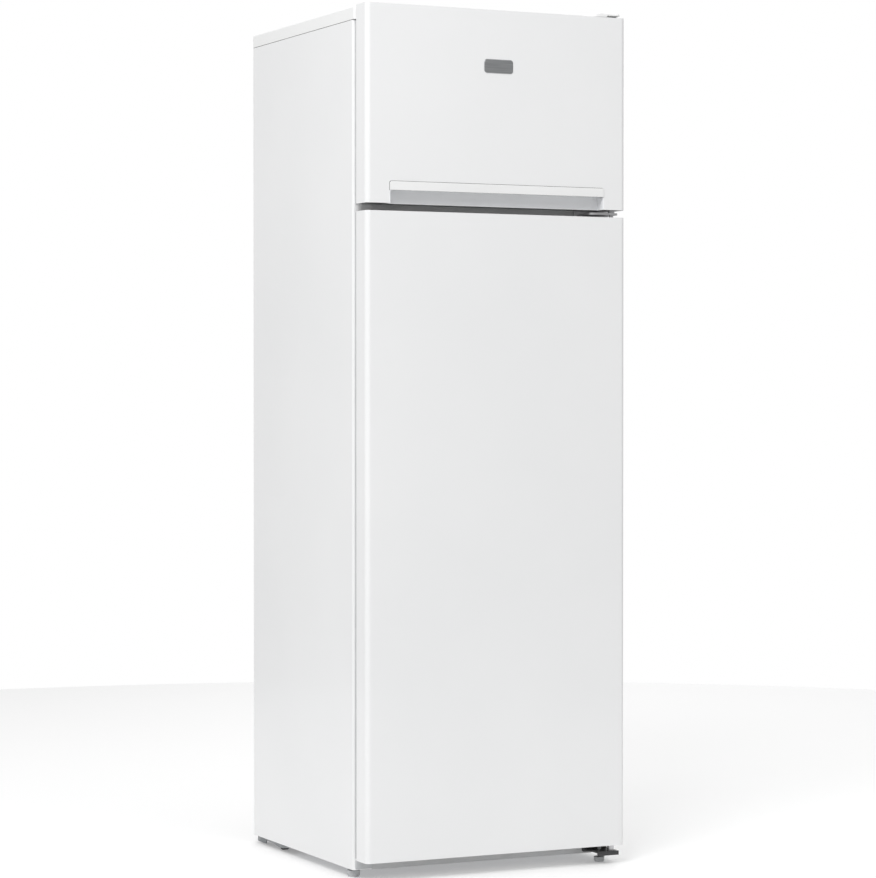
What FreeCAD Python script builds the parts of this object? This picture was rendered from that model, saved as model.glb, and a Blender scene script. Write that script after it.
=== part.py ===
import FreeCAD, Part
import math
import os

V = FreeCAD.Vector

# Top freezer refrigerator, millimetres. X to the right, Y to the back, Z up.
# The floor is Z = 0 and the origin is at the middle of the footprint.

# Overall size
width = 540.0
depth = 574.0                  # handle lip to the tips of the condenser spacers
cabinet_top_z = 1610.0
floor_clearance = 16.0

# Sheets, mouldings and clearances
sheet = 1.0                    # painted steel
panel_bend = 5.0               # outside radius of a folded cabinet corner
liner_wall = 2.0
moulding_wall = 2.5
seam = 0.5                     # open joint between neighbouring fixed pieces
moving_gap = 0.5               # between pieces that slide past each other
running_clearance = 0.06       # radial, pin in bush and shaft in hole

# Front to back
lip_proud = 1.5
door_thickness = 50.5
door_gap = 10.0                # door back to cabinet front, filled by the gasket
rear_standoff = 22.0           # cabinet back to the spacer tips

# Bottom to top
fridge_door_bottom_z = 36.0
fridge_floor_z = 70.0
freezer_door_height = 364.5
door_split = 14.0              # open gap between the two doors
mullion = 71.0                 # fridge ceiling to freezer floor
freezer_roof = 70.0
top_cover_height = 25.0
cover_seam = 1.0               # dark line under the top cover
cover_lip = 6.0                # top cover's reach in front of the cabinet
cover_rounding = 4.0

# Walls around the compartments
fridge_wall = 45.0
freezer_wall = 55.0
fridge_back_wall = 50.0
freezer_back_wall = 60.0
side_flange = 38.0             # folded front edge of a side panel
rear_flange = 12.0
cavity_corner = 10.0
cavity_edge = 12.0             # rounding where a side wall meets floor, back and ceiling

# Machine compartment
niche_depth = 170.0
niche_height_z = 216.0
niche_chamfer = 35.0
step_foam = 50.0               # foam between the machine compartment and the food compartment
step_rise_z = 160.0

# Doors
door_front_radius = 9.0
door_back_radius = 6.0
door_flange = 12.0
end_cap_height = 14.0
door_liner_edge = 10.0         # bare skin around the liner's edge
ridge_depth = 48.0             # liner ridge behind the liner's flat
ridge_width = 22.0
fridge_ridge_gap = 7.0         # liner ridge to the compartment's wall
freezer_ridge_gap = 9.0
ridge_end_gap = 14.0

# Gasket
seal_width = 14.0
seal_side_inset = 18.0
seal_edge = 8.0
seal_top_inset = 9.0
seal_base_extra = 4.0
seal_base_thickness = 2.0
seal_face_thickness = 2.0
seal_neck_inset = 3.0
seal_air = 0.4                 # sealing face to cabinet, door closed
seal_corner = 6.0

# Hinges
hinge_inset_x = 18.0
hinge_inset_y = 28.0           # in front of the door's back
pin_radius = 4.0
pin_engagement = 12.0
bush_radius = 7.0
hinge_plate = 4.0
top_plate = 3.0
hinge_flange = 3.0
top_hinge_clearance = 0.5
hinge_cover_rise = 8.0
hinge_cover_left = 77.0        # cover's low side, from the cabinet's right side
hinge_cover_wall = 2.0
hinge_cover_slope = 22.0       # length of the cover's sloping left end
bracket_reach = 12.0           # plate in front of the pin
bracket_edge = 8.0             # bracket's right edge, from the cabinet's right side
middle_bracket_width = 72.0
bottom_bracket_width = 52.0
bracket_half_flange = 12.0
top_plate_set_back = 45.0      # cabinet front to the plate's rear edge
top_cover_set_back = 55.0
apron_width = 44.0
shoulder_air = 0.3             # pin's shoulder to the door it carries

# Screws
screw_head = 4.0
screw_head_height = 2.2
screw_shank = 2.0
screw_length = 9.0
cross_length = 4.4
cross_width = 0.9
top_screw_insets = (50.0, 22.0)      # from the cabinet's right side
middle_screw_insets = (68.0, 48.0)
bottom_screw_insets = (48.0, 24.0)
top_screw_set_back = 25.0
back_screw_margin = 24.0
back_screw_inset = 8.0

# Pocket handle in the freezer door
handle_half_width = 224.0
handle_height = 41.0           # door bottom to the lip's top
lip_height = 17.5
lip_thickness = 3.0
handle_depth = 24.0
handle_wall = 2.0
handle_corner = 4.5
grip_depth = 8.0
grip_front = 9.5
grip_length = 21.0

# Badge
badge_width = 60.0
badge_height = 26.0
badge_thickness = 1.2
badge_below_top = 105.0

# Shelves and drawer
rib_depth = 7.0
rib_height = 10.0
rib_count = 7
rib_first_z = 330.0
rib_top_clear = 165.0
shelf_levels = (1, 3, 5)
rib_to_back = 20.0             # ledge's end to the compartment's rear wall
glass = 4.0
pane_gap = 2.0
pane_corner = 5.0
shelf_set_back = 120.0         # cabinet front to the shelves' front edge
shelf_back_gap = 15.0
trim_reach = 8.0
trim_wall = 2.0
trim_front_rise = 4.0
trim_rear_rise = 9.0           # stops food from touching the rear wall
trim_hook = 9.0
crisper_height = 180.0
crisper_side_gap = 12.0
crisper_set_back = 117.0
crisper_wall = 2.5
crisper_cover_gap = 12.0
crisper_lean = 12.0            # back wall to the compartment's step
crisper_shoulder = 14.0        # upper floor under the step's top edge
crisper_upper_back = 34.0      # upper back wall to the step's far end
crisper_lip = 6.0
crisper_lip_height = 22.0
crisper_grip_half = 70.0
freezer_shelf_drop = 7.0       # under the middle of the freezer's height
shelf_rod = 2.5
cross_rod = 1.5
cross_rod_count = 24

# Door bins: rises and shares give each bin's floor above its door's bottom edge
bin_gap = 2.0
bin_wall = 2.5
bin_corner = 16.0
bin_rim = 3.0
bin_rim_height = 8.0
fridge_bin_depth = 102.0
freezer_bin_depth = 74.0
lower_bin_rise = 74.0
lower_bin_height = 130.0
middle_bin_share = 0.388
middle_bin_height = 90.0
upper_bin_share = 0.69
upper_bin_height = 80.0
freezer_bin_rise = 85.0
freezer_bin_height = 80.0
hook_height = 12.0
hook_set_back = 34.0           # door liner's flat to the upstand
hook_thickness = 6.0
hook_pocket_wall = 3.0
ledge_width = 10.0
ledge_depth = 44.0
ledge_height = 8.0
ledge_air = 0.3                # ledge to the bin's floor

# Controls
housing_thickness = 40.0
housing_height = 80.0
housing_length = 160.0
housing_below_ceiling = 23.0
housing_corner = 8.0
housing_from_ridge = 5.0       # behind the closed door's ridge
knob_share = 0.62              # knob's place along the housing
knob_radius = 16.0
knob_height = 12.5
shaft_radius = 3.0
knob_ridge = 4.0
lens_length = 80.0
lens_inset = 6.0
lens_wall = 2.0
lens_corner = 12.0
lamp_holder_radius = 9.0
bulb_radius = 11.0
lamp_inset = 14.0              # lamp's axis from the side wall
switch_radius = 5.0
switch_travel = 6.0
switch_air = 0.4
switch_flange = 3.0

# Feet, rollers and tray
foot_flats_left = 24.0
foot_flats_right = 20.0
foot_height_left = 12.0
foot_height_right = 10.0
foot_stem = 4.0
left_foot_inset_x = 14.0
left_foot_inset_y = 30.0
left_stem_top_z = 48.0
right_foot_left_of_pin = 14.0
right_foot_behind_pin = 20.0
right_stem_top_z = 33.0
sole_bevel = 1.5
roller_radius = 14.0
roller_width = 12.0
roller_inset_x = 20.0
roller_y_from_back = 115.0
axle_radius = 3.0
tray_sheet = 1.5
ear_sheet = 2.0
ear_gap = 2.0                  # roller to ear
tray_side_gap = 4.0
tray_front_reach = 4.0
tray_edge_z = 2.5

# Compressor
compressor_radius = 75.0
compressor_top_z = 190.0
compressor_x = 60.0
compressor_from_back = 85.0
shell_corner = 40.0
mount_reach_y = 55.0           # compressor axis to a mounting foot
mount_plate = 3.0
grommet_radius = 11.0
grommet_height = 15.0
grommet_flange = 6.0
relay_inset = 12.0             # how far the box is let into the shell's outline
relay_reach = 32.0
relay_half_width = 26.0
relay_bottom_z = 96.0
relay_height = 60.0
gland_radius = 7.0
gland_bore = 4.0
gland_length = 12.0
gland_rise = 20.0
drip_tray_front = 56.0
drip_tray_rear = 62.0
drip_tray_half_width = 60.0
drip_tray_height = 20.0
drip_tray_wall = 2.0
drain_radius = 6.0
drain_wall = 1.5
drain_from_back = 60.0
drain_to_tray = 10.0

# Condenser
tube_radius = 2.5
wire_radius = 0.75
wire_pitch = 12.0
wire_count = 36
run_pitch = 62.0
run_half_length = 205.0
condenser_bottom_z = 260.0
condenser_top_margin = 110.0
condenser_to_tip = 8.0         # tube's axis to the spacers' tips
condenser_tail = 38.0          # tube's ends below the lowest run
condenser_bend = 14.0
wire_overrun = 14.0
outlet_inset = 36.0
clip_width = 8.0
clip_half_height = 11.0
clip_wire = 15                 # wire pitches from the middle

# Refrigerant pipes
delivery_z = 100.0
return_z = 150.0
inlet_left = 45.0              # delivery pipe's rise, left of the shell
return_left = 25.0
pipe_radius = 3.0
pipe_bend = 12.0
drier_radius = 9.0
drier_bottom_z = 66.0
drier_top_z = 150.0
drier_from_condenser = 38.0
capillary_radius = 1.5
capillary_bend = 8.0
capillary_low_z = 44.0
capillary_inset = 65.0

# Worked out from the sizes above
half_w = width / 2
door_front_y = -depth / 2 + lip_proud
door_back_y = door_front_y + door_thickness
cabinet_front_y = door_back_y + door_gap
cabinet_back_y = depth / 2 - rear_standoff
freezer_door_top_z = cabinet_top_z - top_hinge_clearance
freezer_door_bottom_z = freezer_door_top_z - freezer_door_height
fridge_door_top_z = freezer_door_bottom_z - door_split
split_z = freezer_door_bottom_z - door_split / 2
fridge_ceiling_z = split_z - mullion / 2
freezer_floor_z = split_z + mullion / 2
freezer_ceiling_z = cabinet_top_z - freezer_roof
cover_bottom_z = cabinet_top_z - top_cover_height
panel_top_z = cover_bottom_z - cover_seam
fridge_half = half_w - fridge_wall
freezer_half = half_w - freezer_wall
fridge_rear_y = cabinet_back_y - fridge_back_wall
freezer_rear_y = cabinet_back_y - freezer_back_wall
niche_front_y = cabinet_back_y - niche_depth
step_y = niche_front_y - step_foam
step_end_y = niche_front_y + niche_chamfer
step_top_z = niche_height_z + step_foam + liner_wall
flange_x = half_w - side_flange
pin_x = half_w - hinge_inset_x
pin_y = door_back_y - hinge_inset_y
ridge_back_y = door_back_y + liner_wall + ridge_depth
compressor_y = cabinet_back_y - compressor_from_back
condenser_y = depth / 2 - condenser_to_tip
rib_pitch = (fridge_ceiling_z - rib_top_clear - rib_first_z) / (rib_count - 1)
left_foot_x = -half_w + left_foot_inset_x
left_foot_y = cabinet_front_y + left_foot_inset_y
right_foot_x = pin_x - right_foot_left_of_pin
right_foot_y = pin_y + right_foot_behind_pin
roller_x = half_w - roller_inset_x
roller_y = cabinet_back_y - roller_y_from_back
drain_x = compressor_x
drain_y = cabinet_back_y - drain_from_back
tray_top_z = floor_clearance
tray_bottom_z = floor_clearance - tray_sheet
inlet_x = compressor_x - compressor_radius - inlet_left
outlet_x = half_w - outlet_inset
condenser_end_z = condenser_bottom_z - condenser_tail
drier_y = condenser_y - drier_from_condenser
fridge_door_height = fridge_door_top_z - fridge_door_bottom_z
lower_bin = (fridge_door_bottom_z + lower_bin_rise, lower_bin_height)
middle_bin = (fridge_door_bottom_z + middle_bin_share * fridge_door_height, middle_bin_height)
upper_bin = (fridge_door_bottom_z + upper_bin_share * fridge_door_height, upper_bin_height)
freezer_bin = (freezer_door_bottom_z + freezer_bin_rise, freezer_bin_height)


# ---------------------------------------------------------------- shared forms
def box(x0, x1, y0, y1, z0, z1):
    """Block between two corners."""
    return Part.makeBox(x1 - x0, y1 - y0, z1 - z0, V(x0, y0, z0))


def rod(radius, start, end):
    """Round bar between two points."""
    line = end - start
    return Part.makeCylinder(radius, line.Length, start, line)


def tube(outer, inner, start, end):
    """Round tube between two points."""
    return rod(outer, start, end).cut(rod(inner, start, end))


def rounded(points, radii, place):
    """Face of a closed outline in a plane, each corner rounded to its own radius."""
    edges = []
    starts = []
    count = len(points)
    for i in range(count):
        here = place(*points[i])
        before = place(*points[i - 1])
        after = place(*points[(i + 1) % count])
        r = radii[i]
        if r <= 0:
            starts.append((here, here))
            continue
        a = (before - here).normalize()
        b = (after - here).normalize()
        half = a.getAngle(b) / 2
        reach = r / math.tan(half)
        p = here + a * reach
        q = here + b * reach
        inward = (a + b).normalize()
        centre = here + inward * (r / math.sin(half))
        edges.append(Part.Arc(p, centre - inward * r, q).toShape())
        starts.append((p, q))
    for i in range(count):
        p = starts[i - 1][1]
        q = starts[i][0]
        if (q - p).Length > 1e-6:
            edges.append(Part.LineSegment(p, q).toShape())
    return Part.Face(Part.Wire(Part.__sortEdges__(edges)))


def plan_block(x0, x1, y0, y1, z0, z1, radii):
    """Upright block whose four corners, front left first and round by the right, are rounded."""
    face = rounded([(x0, y0), (x1, y0), (x1, y1), (x0, y1)], radii, lambda u, v: V(u, v, z0))
    return face.extrude(V(0, 0, z1 - z0))


def front_block(x0, x1, z0, z1, y0, y1, radii):
    """Block with its corners rounded as seen from the front: low left, low right, high right, high left."""
    face = rounded([(x0, z0), (x1, z0), (x1, z1), (x0, z1)], radii, lambda u, v: V(u, y0, v))
    return face.extrude(V(0, y1 - y0, 0))


def side_prism(points, radii, x0, x1):
    """Outline in depth and height, carried from x0 to x1."""
    face = rounded(points, radii, lambda u, v: V(x0, u, v))
    return face.extrude(V(x1 - x0, 0, 0))


def ring(half_x, z0, z1, leg, y0, y1, radius):
    """Flat rectangular frame facing front and back."""
    outer = front_block(-half_x, half_x, z0, z1, y0, y1, [radius] * 4)
    inner_radius = max(radius - leg, 0.0)
    inner = front_block(-half_x + leg, half_x - leg, z0 + leg, z1 - leg, y0, y1, [inner_radius] * 4)
    return outer.cut(inner)


def bent_pipe(points, radius, bend):
    """Round bar along straight runs joined by tangent arcs of one bend radius."""
    edges = []
    start = points[0]
    for i in range(1, len(points) - 1):
        a = (points[i - 1] - points[i]).normalize()
        b = (points[i + 1] - points[i]).normalize()
        half = a.getAngle(b) / 2
        reach = bend / math.tan(half)
        p = points[i] + a * reach
        q = points[i] + b * reach
        inward = (a + b).normalize()
        centre = points[i] + inward * (bend / math.sin(half))
        if (p - start).Length > 1e-6:
            edges.append(Part.LineSegment(start, p).toShape())
        edges.append(Part.Arc(p, centre - inward * bend, q).toShape())
        start = q
    edges.append(Part.LineSegment(start, points[-1]).toShape())
    path = Part.Wire(edges)
    section = Part.Face(Part.Wire(Part.makeCircle(radius, points[0], points[1] - points[0])))
    return path.makePipe(section)


def hexagon(x, y, flats, z0, z1):
    """Upright hexagonal bar, one flat facing the front."""
    r = flats / math.sqrt(3)
    corners = [V(x + r * math.cos(math.radians(60 * k)), y + r * math.sin(math.radians(60 * k)), z0)
               for k in range(7)]
    return Part.Face(Part.makePolygon(corners)).extrude(V(0, 0, z1 - z0))


def joined(shapes):
    """One solid from touching pieces."""
    whole = shapes[0]
    for shape in shapes[1:]:
        whole = whole.fuse(shape)
    return whole.removeSplitter()


def save(name, shape):
    """Write one sub-part."""
    shape.exportStep("parts/" + name + ".step")


# ------------------------------------------------------------------- screws
def screw(x, y, z, direction):
    """Pan head screw: the head stands on the point and the shank runs along the direction."""
    seat = V(x, y, z)
    head = rod(screw_head, seat, seat - direction * screw_head_height)
    crowns = [e for e in head.Edges if e.CenterOfMass.distanceToPoint(seat) > screw_head_height * 0.9]
    head = head.makeFillet(screw_head_height / 3, crowns)
    shank = rod(screw_shank, seat, seat + direction * screw_length)
    slot = box(-cross_length / 2, cross_length / 2, -cross_width / 2, cross_width / 2, 0, screw_head_height)
    cross = slot.fuse(slot.rotated(V(0, 0, 0), V(0, 0, 1), 90))
    start = seat - direction * screw_head_height * 1.5
    cross.Placement = FreeCAD.Placement(start, FreeCAD.Rotation(V(0, 0, 1), direction))
    return head.fuse(shank).cut(cross)


def top_screws():
    z = cabinet_top_z + top_plate
    y = cabinet_front_y + top_screw_set_back
    return [screw(half_w - inset, y, z, V(0, 0, -1)) for inset in top_screw_insets]


def middle_screws():
    y = cabinet_front_y - hinge_flange
    return [screw(half_w - inset, y, split_z - hinge_plate, V(0, 1, 0)) for inset in middle_screw_insets]


def bottom_screws():
    y = cabinet_front_y - hinge_flange
    z = floor_clearance + 1.5 * bracket_half_flange
    return [screw(half_w - inset, y, z, V(0, 1, 0)) for inset in bottom_screw_insets]


def back_screws():
    heights = [niche_height_z + back_screw_margin, (niche_height_z + panel_top_z) / 2,
               panel_top_z - back_screw_margin]
    x = half_w - rear_flange - back_screw_inset
    return [screw(s * x, cabinet_back_y, z, V(0, -1, 0)) for s in (-1, 1) for z in heights]


def all_screws():
    return Part.makeCompound(top_screws() + middle_screws() + bottom_screws() + back_screws())


# ------------------------------------------------------------- cabinet outside
def side_panel():
    """Right-hand side sheet with its folded front and rear edges."""
    outer = plan_block(-half_w, half_w, cabinet_front_y, cabinet_back_y, floor_clearance, panel_top_z,
                       [panel_bend] * 4)
    inner = plan_block(-half_w + sheet, half_w - sheet, cabinet_front_y + sheet, cabinet_back_y - sheet,
                       floor_clearance, panel_top_z, [panel_bend - sheet] * 4)
    middle = (cabinet_front_y + cabinet_back_y) / 2
    front_keep = box(flange_x, half_w, cabinet_front_y, middle, floor_clearance, panel_top_z)
    rear_keep = box(half_w - rear_flange, half_w, middle, cabinet_back_y, floor_clearance, panel_top_z)
    keep = front_keep.fuse(rear_keep)
    return outer.cut(inner).common(keep).removeSplitter()


def mirrored(shape):
    return shape.mirror(V(0, 0, 0), V(1, 0, 0))


def back_panel():
    x = half_w - rear_flange - seam
    sheet_back = box(-x, x, cabinet_back_y - sheet, cabinet_back_y, niche_height_z, panel_top_z)
    return sheet_back.cut(all_screws())


def pan_line(offset):
    """Depth and height of the base sheet's underside, moved up into the cabinet by an offset."""
    front = cabinet_front_y + sheet + seam
    return [(front, floor_clearance + offset),
            (niche_front_y - offset, floor_clearance + offset),
            (niche_front_y - offset, niche_height_z - niche_chamfer + offset * 0.41),
            (niche_front_y + niche_chamfer - offset * 0.41, niche_height_z + offset),
            (cabinet_back_y - sheet, niche_height_z + offset)]


def floor_pan():
    """Base sheet: under the cabinet, up the front of the machine compartment and over its top."""
    low = pan_line(0)
    high = pan_line(sheet)
    outline = low + high[::-1]
    x = half_w - sheet
    pan = side_prism(outline, [0] * len(outline), -x, x)
    r = panel_bend - sheet
    inside = plan_block(-x, x, cabinet_front_y + sheet, cabinet_back_y - sheet, 0, cabinet_top_z, [r] * 4)
    pan = pan.common(inside)
    hole = rod(foot_stem + running_clearance, V(left_foot_x, left_foot_y, 0),
               V(left_foot_x, left_foot_y, left_stem_top_z))
    return pan.cut(hole).cut(drain_bore(drain_radius)).cut(capillary_port())


def top_cover():
    """Moulded lid over the whole cabinet, reaching forward to the door."""
    lip_y = cabinet_front_y - cover_lip
    radii = [panel_bend] * 4
    outer = plan_block(-half_w, half_w, lip_y, cabinet_back_y, cover_bottom_z, cabinet_top_z, radii)
    top_edges = [e for e in outer.Edges if e.BoundBox.ZMin > cabinet_top_z - 0.01]
    outer = outer.makeFillet(cover_rounding, top_edges)
    w = moulding_wall
    inner = plan_block(-half_w + w, half_w - w, cabinet_front_y, cabinet_back_y - w, cover_bottom_z,
                       cabinet_top_z - w, [panel_bend - w] * 4)
    return outer.cut(inner).cut(all_screws())


def front_rails():
    """Two cross sheets between the compartments and above the freezer."""
    x = flange_x - seam
    y0 = cabinet_front_y
    y1 = cabinet_front_y + sheet
    low = box(-x, x, y0, y1, fridge_ceiling_z + liner_wall, freezer_floor_z - liner_wall)
    high = box(-x, x, y0, y1, freezer_ceiling_z + liner_wall, panel_top_z)
    return Part.makeCompound([low.cut(all_screws()), high])


def bottom_front_rail():
    """Bottom cross sheet with its lower edge folded back under the base."""
    x = flange_x - seam
    y0 = cabinet_front_y
    face = box(-x, x, y0, y0 + sheet, floor_clearance, fridge_floor_z - liner_wall - seam)
    lug = box(-x, x, y0 + sheet, y0 + 14, floor_clearance - sheet, floor_clearance)
    foot = box(-x, x, y0, y0 + sheet, floor_clearance - sheet, floor_clearance)
    return joined([face, foot, lug]).cut(all_screws())


# ------------------------------------------------------------------ cavities
def fridge_cavity(grow):
    """Food compartment volume, grown outwards, with the step over the machine compartment."""
    front = cabinet_front_y - 1
    g = grow
    points = [(front, fridge_floor_z - g), (step_y + g, fridge_floor_z - g),
              (step_y + g, step_rise_z - g * 0.4), (step_end_y + g * 0.4, step_top_z - g),
              (fridge_rear_y + g, step_top_z - g), (fridge_rear_y + g, fridge_ceiling_z + g),
              (front, fridge_ceiling_z + g)]
    r = cavity_corner + g
    radii = [0, r, 25, 25, r, r, 0]
    return side_prism(points, radii, -fridge_half - g, fridge_half + g)


def softened(cavity, front, radius):
    """Rounds the two side loops of a compartment volume, apart from its open front."""
    x_max = cavity.BoundBox.XMax
    edges = []
    for edge in cavity.Edges:
        b = edge.BoundBox
        on_side = abs(abs(b.Center.x) - x_max) < 0.01 and b.XLength < 0.01
        if on_side and b.YMax > front + 1:
            edges.append(edge)
    return cavity.makeFillet(radius, edges)


def fridge_space(grow):
    return softened(fridge_cavity(grow), cabinet_front_y, cavity_edge + grow)


def freezer_space(grow):
    front = cabinet_front_y - 1
    g = grow
    points = [(front, freezer_floor_z - g), (freezer_rear_y + g, freezer_floor_z - g),
              (freezer_rear_y + g, freezer_ceiling_z + g), (front, freezer_ceiling_z + g)]
    r = cavity_corner + g
    block = side_prism(points, [0, r, r, 0], -freezer_half - g, freezer_half + g)
    return softened(block, cabinet_front_y, cavity_edge + g)


def rib_levels():
    return [rib_first_z + i * rib_pitch for i in range(rib_count)]


def crisper_cover_z():
    return fridge_floor_z + crisper_height + crisper_cover_gap


def rib_pair(z, half, back_y):
    """Two moulded shelf ledges, their tops at one height."""
    front = cabinet_front_y + shelf_set_back - 12
    side = half - rib_depth
    points = [(front, z - rib_height), (back_y, z - rib_height), (back_y, z), (front + 6, z)]
    ledge = side_prism(points, [0, 0, 0, 2], side, half + liner_wall / 2)
    return [ledge, mirrored(ledge)]


def lined(grown, space, floor_z, ceiling_z):
    """Liner shell between a compartment and its grown form, with a flat edge around the mouth."""
    x = flange_x - seam
    mouth = box(-x, x, cabinet_front_y, cabinet_front_y + liner_wall, floor_z - liner_wall,
                ceiling_z + liner_wall)
    ahead = box(-half_w, half_w, door_back_y, cabinet_front_y, 0, cabinet_top_z)
    return joined([grown, mouth]).cut(space).cut(ahead)


def fridge_liner():
    """Vacuum-formed food liner: shelf ledges and a flat edge around its mouth."""
    liner = lined(fridge_space(liner_wall), fridge_space(0), fridge_floor_z, fridge_ceiling_z)
    ribs = rib_pair(crisper_cover_z(), fridge_half, step_y + 30)
    for z in rib_levels():
        ribs += rib_pair(z, fridge_half, fridge_rear_y - rib_to_back)
    for rib in ribs:
        liner = liner.fuse(rib)
    return liner.cut(drain_bore(drain_radius)).removeSplitter()


def freezer_liner():
    liner = lined(freezer_space(liner_wall), freezer_space(0), freezer_floor_z, freezer_ceiling_z)
    for rib in rib_pair(freezer_shelf_level(), freezer_half, freezer_rear_y - rib_to_back):
        liner = liner.fuse(rib)
    return liner.removeSplitter()


def freezer_shelf_level():
    return (freezer_floor_z + freezer_ceiling_z) / 2 - freezer_shelf_drop


def evaporator_plates():
    """Cold plates pressed to the outside of the two liners."""
    t = 1.5
    gap = liner_wall
    edge = cavity_edge + gap + 6
    fridge_plate = box(-fridge_half + 60, fridge_half - 60, fridge_rear_y + gap, fridge_rear_y + gap + t,
                       rib_levels()[3], rib_levels()[6])
    front = cabinet_front_y + 90
    back = freezer_rear_y - edge
    x = freezer_half - edge
    under = box(-x, x, front, back, freezer_floor_z - gap - t, freezer_floor_z - gap)
    over = box(-x, x, front, back, freezer_ceiling_z + gap, freezer_ceiling_z + gap + t)
    rear = box(-x, x, freezer_rear_y + gap, freezer_rear_y + gap + t,
               freezer_floor_z + edge, freezer_ceiling_z - edge)
    return [fridge_plate, under, over, rear]


def cabinet_foam():
    """Insulation between the sheets and the liners, filled in up to the top cover."""
    x = half_w - sheet
    front = cabinet_front_y + sheet
    back = cabinet_back_y - sheet
    r = panel_bend - sheet
    body = plan_block(-x, x, front, back, floor_clearance + sheet, cover_bottom_z, [r] * 4)
    w = moulding_wall
    head = plan_block(-half_w + w, half_w - w, cabinet_front_y + sheet, cabinet_back_y - w, cover_bottom_z,
                      cabinet_top_z - w, [r - w / 2] * 4)
    foam = body.fuse(head)
    outline = pan_line(sheet)
    niche = [(outline[1][0], 0), outline[1], outline[2], outline[3], (cabinet_back_y + 1, outline[4][1]),
             (cabinet_back_y + 1, 0)]
    foam = foam.cut(side_prism(niche, [0] * 6, -half_w, half_w))
    mouths = []
    for z0, z1 in ((fridge_floor_z, fridge_ceiling_z), (freezer_floor_z, freezer_ceiling_z)):
        mouths.append(box(-flange_x, flange_x, front - 1, cabinet_front_y + liner_wall,
                          z0 - liner_wall, z1 + liner_wall))
    foam = foam.cut(fridge_space(liner_wall)).cut(freezer_space(liner_wall))
    for mouth in mouths:
        foam = foam.cut(mouth)
    pocket = rod(foot_stem + 2, V(left_foot_x, left_foot_y, 0),
                 V(left_foot_x, left_foot_y, left_stem_top_z + 8))
    foam = foam.cut(pocket).cut(drain_bore(drain_radius))
    foam = foam.cut(Part.makeCompound(evaporator_plates())).cut(all_screws())
    return foam.removeSplitter()


# -------------------------------------------------------- machine compartment
def drain_bore(radius):
    return rod(radius, V(drain_x, drain_y, niche_height_z - 20), V(drain_x, drain_y, step_top_z + 5))


def drain_pipe():
    """Defrost water pipe from the liner's step down to the evaporation tray."""
    top = V(drain_x, drain_y, step_top_z)
    end = V(drain_x, drain_y, compressor_top_z + drain_to_tray)
    return tube(drain_radius, drain_radius - drain_wall, end, top)


def compressor_tray():
    """Base plate of the machine compartment with its side ears and roller axles."""
    x = half_w - tray_side_gap
    y0 = niche_front_y - tray_front_reach
    y1 = cabinet_back_y
    plate = box(-x, x, y0, y1, tray_bottom_z, tray_top_z)
    half = roller_width / 2 + ear_gap
    for side in (-1, 1):
        centre = side * roller_x
        slot = box(centre - half, centre + half, roller_y - roller_radius - 4, roller_y + roller_radius + 4,
                   0, tray_top_z)
        plate = plate.cut(slot)
    low = roller_radius - axle_radius - 6
    ear_line = [(y0, tray_top_z), (y0, tray_top_z - 4), (roller_y - 12, low), (roller_y + 12, low),
                (roller_y + 34, 9.0), (y1 - 44, 9.0), (y1 - 42, tray_edge_z), (y1, tray_edge_z),
                (y1, tray_top_z)]
    radii = [0, 0, 3, 3, 3, 1, 1, 1, 0]
    crown = [(roller_y - 10, tray_top_z), (roller_y + 10, tray_top_z), (roller_y + 8, roller_radius + 6),
             (roller_y - 8, roller_radius + 6)]
    reach = half + ear_sheet
    pieces = [plate]
    for side in (-1, 1):
        for start in (side * roller_x - reach, side * roller_x + half):
            pieces.append(side_prism(ear_line, radii, start, start + ear_sheet))
            pieces.append(side_prism(crown, [0, 0, 2, 2], start, start + ear_sheet))
        pieces.append(rod(axle_radius, V(side * roller_x - reach, roller_y, roller_radius),
                          V(side * roller_x + reach, roller_y, roller_radius)))
    return joined(pieces)


def roller(side):
    """Transport roller, turning on the tray's axle."""
    x = side * roller_x
    half = roller_width / 2
    wheel = rod(roller_radius, V(x - half, roller_y, roller_radius), V(x + half, roller_y, roller_radius))
    rims = [e for e in wheel.Edges if abs(e.Length - 2 * math.pi * roller_radius) < 0.1]
    wheel = wheel.makeFillet(1.5, rims)
    hub = tube(axle_radius + 3, axle_radius, V(x - half - 1.5, roller_y, roller_radius),
               V(x + half + 1.5, roller_y, roller_radius))
    bore = rod(axle_radius + running_clearance, V(x - 20, roller_y, roller_radius),
               V(x + 20, roller_y, roller_radius))
    return wheel.fuse(hub).cut(bore).removeSplitter()


def grommet_places():
    return [(compressor_x + sx * compressor_radius, compressor_y + sy * mount_reach_y)
            for sx in (-1, 1) for sy in (-1, 1)]


def compressor():
    """Hermetic shell on its mounting plate."""
    base_z = tray_top_z + grommet_height
    r = compressor_radius
    z1 = compressor_top_z
    profile = [(0, base_z), (r - 6, base_z), (r - 6, base_z + 40), (r, base_z + 46), (r, base_z + 54),
               (r - 4, base_z + 60), (r - 4, z1), (0, z1)]
    radii = [0, 18, 0, 2, 2, 0, shell_corner, 0]
    face = rounded(profile, radii, lambda u, v: V(compressor_x + u, compressor_y, v))
    shell = face.revolve(V(compressor_x, compressor_y, 0), V(0, 0, 1), 360)
    feet = []
    for x, y in grommet_places():
        feet.append(rod(grommet_radius + 3, V(x, y, base_z), V(x, y, base_z + mount_plate)))
    x0, x1 = compressor_x - compressor_radius, compressor_x + compressor_radius
    for sy in (-1, 1):
        y = compressor_y + sy * mount_reach_y
        feet.append(box(x0, x1, y - grommet_radius - 3, y + grommet_radius + 3, base_z, base_z + mount_plate))
    return joined([shell] + feet)


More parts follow.
